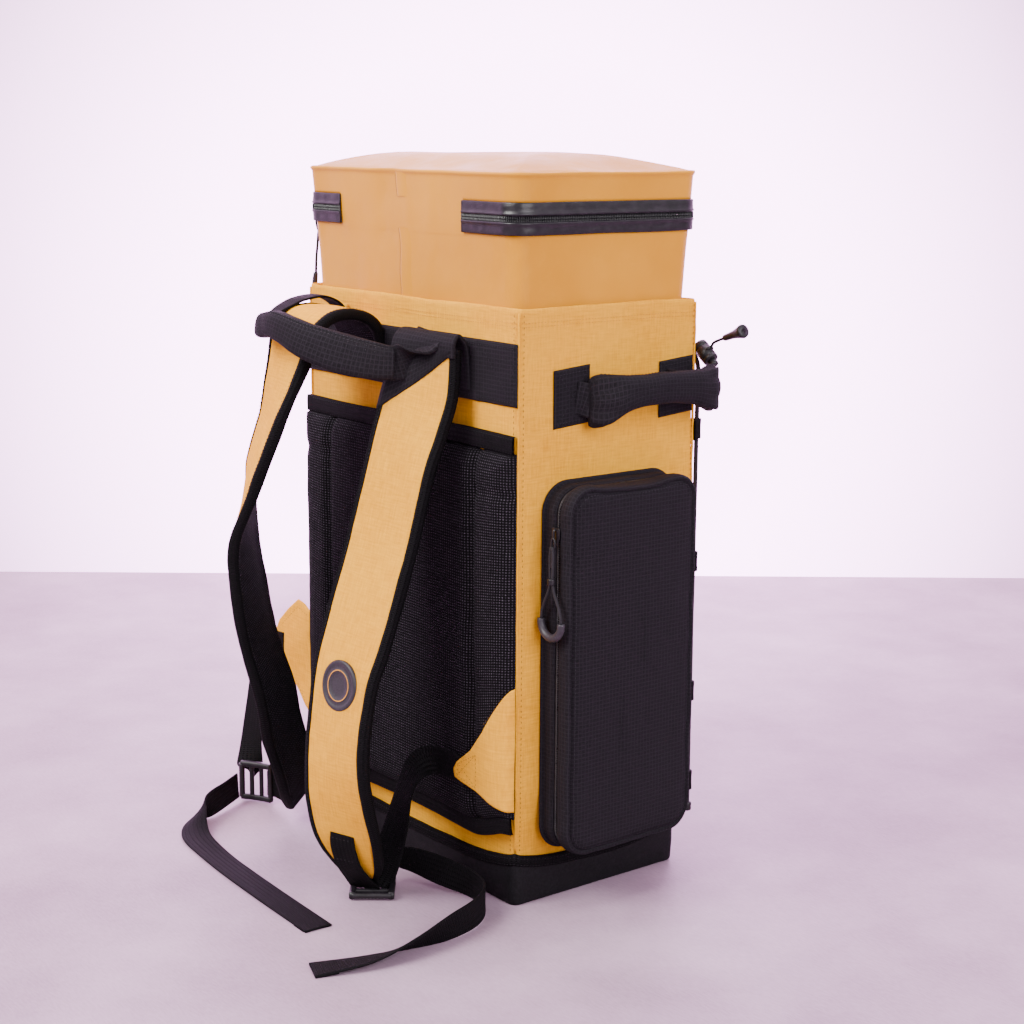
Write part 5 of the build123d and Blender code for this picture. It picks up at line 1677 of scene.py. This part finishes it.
def lid_zip():
    """Two coated tapes with raised ribs, and a row of teeth on each."""
    path, outs = zip_runs(0.0)
    flat = path.copy()
    dents = ripple(flat + (0, 0, ZIP_LEVEL), 60.0, 4.0) * 0.5
    profile = [(12.7, 0.0), (12.6, 1.4), (11.8, 1.8), (9.0, 1.7), (7.0, 1.9), (5.0, 2.0), (4.2, 2.7),
               (3.4, 2.9), (2.7, 2.2), (2.2, 1.2), (0.6, 0.9), (0.5, -0.6)]
    for half, sign, body in (("lower", -1, "cooler"), ("upper", 1, "lid")):
        rows = []
        for dz, lift in profile:
            wave = 0.35 * ripple(flat + (0, 0, 40.0 * sign), 28.0, 3.0)
            row = path + outs * (lift + 0.3 + dents + 0.25 * ripple(flat + (0, 0, dz), 9.0))[:, None]
            row[:, 2] = ZIP_LEVEL + sign * (dz + (wave if dz > 11 else 0.0))
            rows.append(row)
        tape = surface("tape", np.array(rows), [ZIP_TAPE], None, flip=sign > 0)
        run, facing = path + outs * 1.9, outs
        run = run + (0, 0, ZIP_LEVEL + sign * 1.15)
        dense = resample(np.hstack([run, facing]), int(path_length(run) / 1.75))
        teeth = teeth_row("teeth", dense[:, :3], unit(dense[:, 3:]), np.array((0, 0, 1.0)), 1.15, 2.3, 1.25)
        ends = []
        for index in (0, -1):
            at = path[index] + outs[index] * 1.6 + (0, 0, ZIP_LEVEL + sign * 6.3)
            ends.append(box_solid("stop", (1.6, 1.4, 12.4), at, ((1, 0, 0), (0, 1, 0), (0, 0, 1)), 0.4,
                                  ZIP_TAPE, None))
        joined(f"lid_zip_{half}", [tape, teeth] + ends, body)


def hinge_skin():
    """The stretch of skin between the zip's ends."""
    hy = box_half(ZIP_LEVEL)[1]
    xs = np.linspace(HINGE_FROM - 0.5, HINGE_TO + 0.5, 70)
    rows = []
    for z in np.linspace(550.5, 581.5, 14):
        y = -box_half(z)[1]
        rows.append(np.column_stack([xs, np.full(len(xs), y), np.full(len(xs), z)]))
    points = np.array(rows)
    outs = np.zeros_like(points)
    outs[..., 1] = -1.0
    points = box_soft(points, outs)
    points[..., 1] -= 0.25
    piece = surface("hinge_skin", points, [BOX_SKIN])
    slack((0, -hy, 554))
    slack((0, -hy, 578))
    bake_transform(piece)
    thin = points[:, 2:-2].copy()
    thin[..., 1] += 1.3
    lining = surface("hinge_lining", thin, [LINER], flip=True)
    slack((0, -hy, 554))
    slack((0, -hy, 578))
    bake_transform(lining)


def weld(name, low, high, body):
    """The lapped weld down the back of the box: one cut edge stands a little proud."""
    zs = np.linspace(low, high, max(int((high - low) / 2.5), 4))
    profile = [(-0.4, -0.6), (-0.1, 1.0), (0.5, 1.35), (3.0, 1.25), (7.0, 1.0), (12.0, 0.5), (17.0, -0.4)]
    rows = []
    for z in zs:
        y = -box_half(z)[1]
        x = -9.0 + 1.1 * sin(z / 6.0) * 0.6 + 0.9 * sin(z / 17.0 + 1)
        rows.append([(x + dx, y - lift, z) for dx, lift in profile])
    points = np.array(rows)
    outs = np.zeros_like(points)
    outs[..., 1] = -1.0
    soft = box_soft(points, outs)
    piece = surface(name, soft, [BOX_SKIN], body)
    edge = soft[:, 1] + (-0.25, 0.35, 0)
    tube(name + "_edge", edge, 0.5, SEAM, body, sides=6)
    return piece


def lid():
    """The lid's skin: its sides, its rolled rim and its slightly folded crown."""
    zs = [578.5, 581, 584, 588, 592, 595, 597.2]
    rows = [(*box_half(578.5), BOX_CORNER, 578.4, -1.3)] + box_rows(zs)
    rim = [(598.4, 0.5), (599.4, 1.2), (600.6, 1.3), (601.5, 0.7), (601.8, -0.4), (601.5, -1.8),
           (601.2, -3.0)]
    rows += [(BOX_HALF_X, BOX_HALF_Y, BOX_CORNER, z, offset) for z, offset in rim]
    crown_rise = 14.0
    for inset in (5, 8, 12, 17, 23, 30, 38, 47, 57, 67, 77, 86, 92):
        share = min(inset / 92.0 * 1.25, 1.0)
        height = 601.2 + crown_rise * sin(share * pi / 2) ** 1.15
        rows.append((BOX_HALF_X - inset, BOX_HALF_Y - inset, max(BOX_CORNER - inset, 3.0), height, 0.0))
    points, outs = stacked(rows, along_x=80, along_y=54, corner=14)
    sides = len(zs) + 4
    points[1:sides] = box_soft(points, outs)[1:sides]
    crown = ease(np.arange(len(rows)), sides, sides + 8)[:, None]
    x, y = points[..., 0], points[..., 1]
    folds = (np.sin((x * 0.55 + y) / 26.0) * 0.55 + np.sin((x * 0.9 - y * 1.3) / 33.0 + 1.0) * 0.45
             + ripple(points, 42.0, 5.0) * 0.5)
    points[..., 2] += crown * (folds - 0.6)
    edge = np.exp(-((np.arange(len(rows)) - sides + 1) / 3.0) ** 2)[:, None]
    points[..., 2] += edge * ripple(points * (1, 1, 0), 55.0, 7.0) * 0.4
    surface("lid_skin", points, [BOX_SKIN], "lid", wrap=True, caps=(False, True))


def lid_pull():
    """The lid zip's slider, its tab with an oval hole, the thin cord and the grip at its end."""
    x, y, z = -155.4, -80.0, ZIP_LEVEL
    axes = ((0, 1, 0), (0, 0, 1), (-1, 0, 0))
    slider = [box_solid("plate", (13.0, 8.6, 1.6), (x + 0.2, y, z), axes, 0.6, METAL, None),
              box_solid("waist", (7.5, 6.0, 2.2), (x - 0.8, y + 1.5, z), axes, 0.7, METAL, None)]
    bridge = [(x - 1.2, y - 5, z), (x - 3.0, y - 4, z), (x - 3.6, y, z), (x - 3.0, y + 4, z),
              (x - 1.2, y + 5.5, z)]
    slider.append(tube("bridge", smooth_path(bridge, 20), 1.0, METAL, None))
    joined("lid_slider_look", slider, "lid_slider")
    turn = np.linspace(0, 2 * pi, 49)[:-1]
    outline = np.array([(4.3 * cos(t) * (1 + 0.15 * sin(t)), -12 + 14.0 * sin(t) * 0.98) for t in turn])
    hole = np.array([(2.2 * cos(t), -19.0 + 4.6 * sin(t)) for t in turn])
    profile = [(0.8, 0.0), (0.8, 0.9), (0.4, 1.0), (-0.4, 1.0), (-0.8, 0.9), (-0.8, 0.0), (-0.8, 0.0),
               (0.8, 0.0)]
    rows = []
    for lift, share in profile:
        ring = hole + (outline - hole) * share
        rows.append(np.column_stack([np.full(len(turn), x - 3.4 - lift), y + ring[:, 0], z + 2 + ring[:, 1]]))
    tab = surface("tab", np.array(rows), [METAL], None, wrap=True)
    joined("lid_pull_tab_look", [tab], "lid_pull")
    top = (x - 3.4, y, z - 19.5)
    route = [top, (x - 4.2, y - 0.6, z - 26), (x - 4.6, y - 1.0, z - 33), (x - 4.8, y - 2.5, z - 47),
             (x - 6.0, y - 2.5, z - 63)]
    path = smooth_path(route, 60)
    line = tube("lid_pull_cord_look", path, 1.2, CORD, "lid_pull", up=(0, 1, 0))
    grip_course = [(x - 6.0, y - 2.6, z - 60.5), (x - 7.6, y - 2.6, z - 68), (x - 8.0, y - 2.6, z - 75),
                   (x - 6.2, y - 2.6, z - 82.5)]
    grip_path = smooth_path(grip_course, 26)
    grip = tube("lid_pull_grip_look", grip_path, 2.1 + 0.5 * np.sin(np.linspace(0, pi, 26)), GRIP, "lid_pull",
                sides=14, up=(0, 1, 0))
    slack(path[0])
    path_length(path) * MM
    [slack(p) for p in path]


# ================================================================ front lacing

def lacing():
    """Webbing loops down the front edges, the elastic cord through them and its cord lock."""
    loops = []
    for side in (-1, 1):
        for height in (71, 153, 269, 385):
            x = side * 144.0
            foot = BAG_HALF_Y
            course = [(x - 8.6, foot + 0.6), (x - 8.0, foot + 4), (x - 6.6, foot + 9.4),
                      (x - 2.5, foot + 11.6), (x + 2.5, foot + 11.6), (x + 6.6, foot + 9.4),
                      (x + 8.0, foot + 4), (x + 8.6, foot + 0.6)]
            lean = 1.0 if height % 2 else -1.0
            stations = [((px, py, height + lean * (px - x) / 9), (0, 0, 1), 17.5) for px, py in course]
            _, loop = web("loop", stations, None, 40, 1.5, fold=0.15, seed=height)
            loops.append(loop)
            for reach in (-1, 1):
                base = [((x + reach * t, foot + 0.9, height), (0, 0, 1), 17.5) for t in (7.6, 10.0, 10.9)]
                _, foot_piece = web("loop_foot", base, None, 8, 1.4, fold=0.0)
                loops.append(foot_piece)
    joined("front_loops_look", loops, "bag")
    x, y, top, low = 147.6, 103.4, 452.0, 51.0
    bend = [(16 * (1 - cos(t)), 16 * sin(t)) for t in np.linspace(0, pi / 2, 9)]
    up = [(x, y, z) for z in np.linspace(low, top - 16, 60)]
    corner_right = [(x - dx, y, top - 16 + dz) for dx, dz in bend[1:]]
    across = [(px, y, top) for px in np.linspace(x - 18, -x + 18, 50)]
    corner_left = [(-x + dx, y, top - 16 + dz) for dx, dz in bend[::-1][:-1]]
    down = [(-x, y, z) for z in np.linspace(top - 16, low, 60)]
    line = np.array(up + corner_right + across + corner_left + down)
    line[:, 0] += ripple(line, 60.0, 1.0) * 0.4
    path = resample(line, 520)
    piece = tube("bungee_cord_look", path, 2.0, CORD, "bag", sides=12, up=(0, 1, 0))
    ends = []
    for side in (-1, 1):
        stack = np.array([(side * x, y, z) for z in (43, 43.6, 45, 47, 49, 50.4, 51)])
        radius = np.array((2.6, 3.6, 4.0, 3.7, 4.0, 3.6, 2.6))
        ends.append(tube("crimp", stack, radius, MOULDING, None, sides=18, up=(1, 0, 0.01)))
    knots = joined("bungee_knots_look", ends, "bag")
    slack(path[0])
    path_length(path) * MM
    [slack(p) for p in path]
    cord_lock()


def cord_lock():
    """The cord lock at the upper right end of the lacing, its button, and its tail with a bell."""
    centre = np.array((157, 104.5, 449.0))
    axis = np.array((0.8, 0, -0.6))
    side = np.array((0, 1.0, 0))

    def turned_piece(name, profile, material, body, count=28):
        path = np.array([centre + axis * t for t, _ in profile])
        radius = np.array([r for _, r in profile])
        return tube(name, path, radius, material, body, sides=count, up=side)

    barrel = [(-13.0, 3.2), (-13.0, 5.6), (-12.2, 6.5), (-8, 6.8), (-7.6, 6.3), (-6.8, 6.3), (-6.4, 6.8),
              (3.0, 6.8), (3.4, 6.3), (4.2, 6.3), (4.6, 6.8), (6.4, 6.5), (7.0, 5.8), (7.0, 3.95),
              (6.0, 3.9), (0.0, 3.9)]
    lock = turned_piece("barrel", barrel, MOULDING, None)
    eye = np.array([centre + np.array((0.6, 0, 0.8)) * (5.4 + 2.4 * sin(t)) + side * 3.0 * cos(t) - axis * 1.0
                    for t in np.linspace(0, 2 * pi, 25)])
    joined("cord_lock_look", [lock, tube("eye", eye, 1.2, MOULDING, None, up=axis)], "bag")
    button = [(4.2, 3.5), (11.4, 3.6), (11.8, 3.6), (12.6, 3.2), (13.0, 2.4), (13.05, 0.6)]
    turned_piece("cord_lock_button_look", button, MOULDING, "lock_button")
    start = centre + np.array((0.6, 0, 0.8)) * 5.8
    thin = smooth_path([start, (164, 104.5, 459.5), (170, 105, 462.5), (177, 104.5, 465)], 30)
    tube("cord_tail_look", thin, 1.2, CORD, "bag")
    base, tip = np.array((177, 104.5, 465.0)), np.array((200, 104.5, 473.0))
    profile = [(0.0, 1.8), (0.01, 2.5), (0.06, 2.8), (0.25, 3.0), (0.5, 3.5), (0.72, 4.6), (0.86, 5.6),
               (0.93, 5.95), (0.985, 5.6), (1.0, 4.6), (1.0, 2.0), (0.97, 1.0)]
    path = np.array([base + (tip - base) * t for t, _ in profile])
    tube("cord_bell_look", path, np.array([r for _, r in profile]), MOULDING, "bag", sides=28, up=side)


# ================================================================ CAD nodes that stay in view

def paint_node(name, material):
    """Gives a kept CAD node one material."""
    for piece in bpy.data.objects:
        if piece.type == "MESH" and piece.name.split(".")[0] == name:
            piece.data.materials.clear()
            piece.data.materials.append(material)


def kept_nodes():
    """Materials for the CAD nodes that stay in view or show when something opens."""
    for name, material in (("base_board", MOULDING), ("base_foam", FOAM), ("frame_sheet", MOULDING),
                           ("cooler_foam", FOAM), ("cooler_liner", LINER), ("lid_foam", FOAM),
                           ("lid_liner", LINER), ("cord_lock_spring", STEEL)):
        paint_node(name, material)


# ================================================================ floor, wall, light and camera

def stage_sheet(name, corners, material):
    """A flat piece of the backdrop over four corners."""
    verts = np.array(corners, float)
    piece = build(name, verts, [(0, 1, 2, 3)], [(0, 0), (4000, 0), (4000, 4000), (0, 4000)], None,
                  [material], None, smooth=False)
    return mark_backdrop(piece)


def soft_light(name, place, aim, size, power, colour):
    """A rectangular lamp at a place, turned towards an aim, both in metres."""
    lamp = bpy.data.lights.new(name, "AREA")
    lamp.shape = "RECTANGLE"
    lamp.size, lamp.size_y = size
    lamp.energy = power
    lamp.color = colour
    holder = bpy.data.objects.new(name, lamp)
    bpy.context.scene.collection.objects.link(holder)
    holder.location = place
    holder.rotation_euler = (Vector(aim) - Vector(place)).to_track_quat("-Z", "Y").to_euler()
    return holder


def studio():
    """The floor, the wall behind, three soft lamps and the pale world."""
    floor_low, floor_high = (0.25, 0.165, 0.225), (0.40, 0.28, 0.365)
    floor = stage_material("floor_pale", floor_low, floor_high, 190.0, 0.5)
    wall = stage_material("wall_pale", (0.80, 0.52, 0.80), (0.84, 0.50, 0.86), 900.0, 0.9, glow=(10.4, 0.9))
    turn = radians(CAMERA_TURN)
    ahead = np.array((-sin(turn), cos(turn), 0.0))
    side = np.array((cos(turn), sin(turn), 0.0))
    foot = np.array(CAMERA_FOOT) + ahead * WALL_AHEAD
    stage_sheet("floor", [(-9000, -9000, 0), (9000, -9000, 0), (9000, 9000, 0), (-9000, 9000, 0)], floor)
    stage_sheet("wall", [foot - side * 7000, foot + side * 7000, foot + side * 7000 + UP * 6000,
                         foot - side * 7000 + UP * 6000], wall)
    back = -ahead
    near = np.array((0.0, 0.0, 0.3))
    key = near + (back * 1.1 - side * 1.9) + (0, 0, 1.9)
    fill = near + (back * 2.2 + side * 1.6) + (0, 0, 1.1)
    wash = near + ahead * 0.9 + (0, 0, 2.6)
    soft_light("key", key, near, (1.5, 1.5), 165.0, (1.0, 0.98, 0.95))
    soft_light("fill", fill, near, (2.2, 1.8), 104.0, (1.0, 0.98, 1.0))
    soft_light("wash", wash, near + ahead * 1.6 + (0, 0, 0.5), (3.5, 1.5), 150.0, (1.0, 0.97, 0.99))
    world = bpy.data.worlds.new("studio")
    world.use_nodes = True
    world.node_tree.nodes["Background"].inputs["Color"].default_value = (1.0, 0.93, 1.0, 1.0)
    world.node_tree.nodes["Background"].inputs["Strength"].default_value = 1.05
    bpy.context.scene.world = world


CAMERA_PLACE = Vector((1.3081, -0.9908, 0.6337))
CAMERA_TURN = 52.324
CAMERA_PITCH = 11.468
CAMERA_ROLL = 0.367
CAMERA_LENS = 66.25


def camera():
    """The camera at the photograph's viewing angle."""
    turn, pitch, roll = (radians(a) for a in (CAMERA_TURN, CAMERA_PITCH, CAMERA_ROLL))
    back = Vector((sin(turn) * cos(pitch), -cos(turn) * cos(pitch), sin(pitch)))
    right = Vector((cos(turn), sin(turn), 0.0))
    up = back.cross(right)
    rolled_right = cos(roll) * right + sin(roll) * up
    rolled_up = -sin(roll) * right + cos(roll) * up
    lens = bpy.data.cameras.new("camera")
    lens.lens = CAMERA_LENS
    lens.sensor_width = 36.0
    lens.clip_end = 60.0
    holder = bpy.data.objects.new("camera", lens)
    holder.matrix_world = Matrix((rolled_right, rolled_up, back)).transposed().to_4x4()
    holder.location = CAMERA_PLACE
    bpy.context.scene.collection.objects.link(holder)
    bpy.context.scene.camera = holder


# ================================================================ putting it together


bag_canvas()
corner_seams()
rim_stitches()
boot()
back_pad()
bindings()
anchor()
wings()
pocket("right", RIGHT, SIDE_POCKET, -1, 317.0, 1.0)
pocket("left", LEFT, SIDE_POCKET, 1, 317.0, 21.0)
pocket("front", FRONT, FRONT_POCKET, -1, 232.0, 41.0)
side_handle("right", RIGHT, 1)
side_handle("left", LEFT, -1)
finish_strap("right", RIGHT_STRAP, 1.0)
finish_strap("left", LEFT_STRAP, 5.0, LEFT_CREST)
badge()
yokes()
strap_cloth()
haul_handle()
tabs()
buckle("buckle_right", (52, -167, 5.2), (-0.79, 0.6, 0.1), (0.6, 0.79, 0), "strap_right")
buckle("buckle_left", (-200, -133, 20.5), (-0.85, -0.5, 0), (0, 0, 1), "strap_left")
lower_webs()
tails()
box_skin()
lid_zip()
hinge_skin()
weld("weld_cooler", 478.0, 553.0, "cooler")
weld("weld_lid", 579.0, 599.0, "lid")
lid()
lid_pull()
lacing()
kept_nodes()

REPLACED = {
    "bag_canvas": ["outer_shell"], "base_boot_look": ["base_boot"], "back_pad": ["back_panel"],
    "panel_bindings_look": ["panel_bindings"], "anchor_band_look": ["anchor_band"],
    "side_wings_look": ["side_wings"], "side_patches_right": ["side_patches"],
    "side_grip_right": ["side_handle_right"], "side_grip_left": ["side_handle_left"],
    "strap_look_right": ["strap_right"], "strap_look_left": ["strap_left"],
    "strap_badge_look": ["strap_badge"],
    "yoke_right": ["strap_yokes"], "haul_handle_look": ["haul_handle"], "tab_right_look": ["tab_right"],
    "tab_left_look": ["tab_left"], "buckle_right_look": ["buckle_right"], "buckle_left_look": ["buckle_left"],
    "lower_web_right": ["lower_webs"], "tail_look_right": ["tail_right"], "tail_look_left": ["tail_left"],
    "cooler_skin": ["cooler_shell"], "lid_zip_lower": ["zip_tape_lower"], "lid_zip_upper": ["zip_tape_upper"],
    "hinge_skin": ["lid_hinge"], "lid_skin": ["lid_shell"], "lid_slider_look": ["lid_slider"],
    "lid_pull_tab_look": ["lid_pull_tab"], "lid_pull_cord_look": ["lid_pull_cord"],
    "lid_pull_grip_look": ["lid_pull_grip"], "front_loops_look": ["front_loops"],
    "bungee_cord_look": ["bungee_cord"], "bungee_knots_look": ["bungee_knots"],
    "cord_lock_look": ["cord_lock_body"], "cord_lock_button_look": ["cord_lock_button"],
    "cord_tail_look": ["cord_tail"], "cord_bell_look": ["cord_bell"],
}
for where in ("right", "left", "front"):
    REPLACED[f"pocket_wall_{where}"] = [f"pocket_gusset_{where}"]
    REPLACED[f"pocket_zip_inner_{where}"] = [f"pocket_zip_{where}"]
    REPLACED[f"pocket_rim_{where}"] = [f"pocket_cover_{where}"]
    REPLACED[f"pocket_slider_look_{where}"] = [f"pocket_slider_{where}"]
    REPLACED[f"pocket_pull_look_{where}"] = [f"pocket_pull_{where}"]
for piece_name, nodes in REPLACED.items():
    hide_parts(*nodes)

studio()
camera()
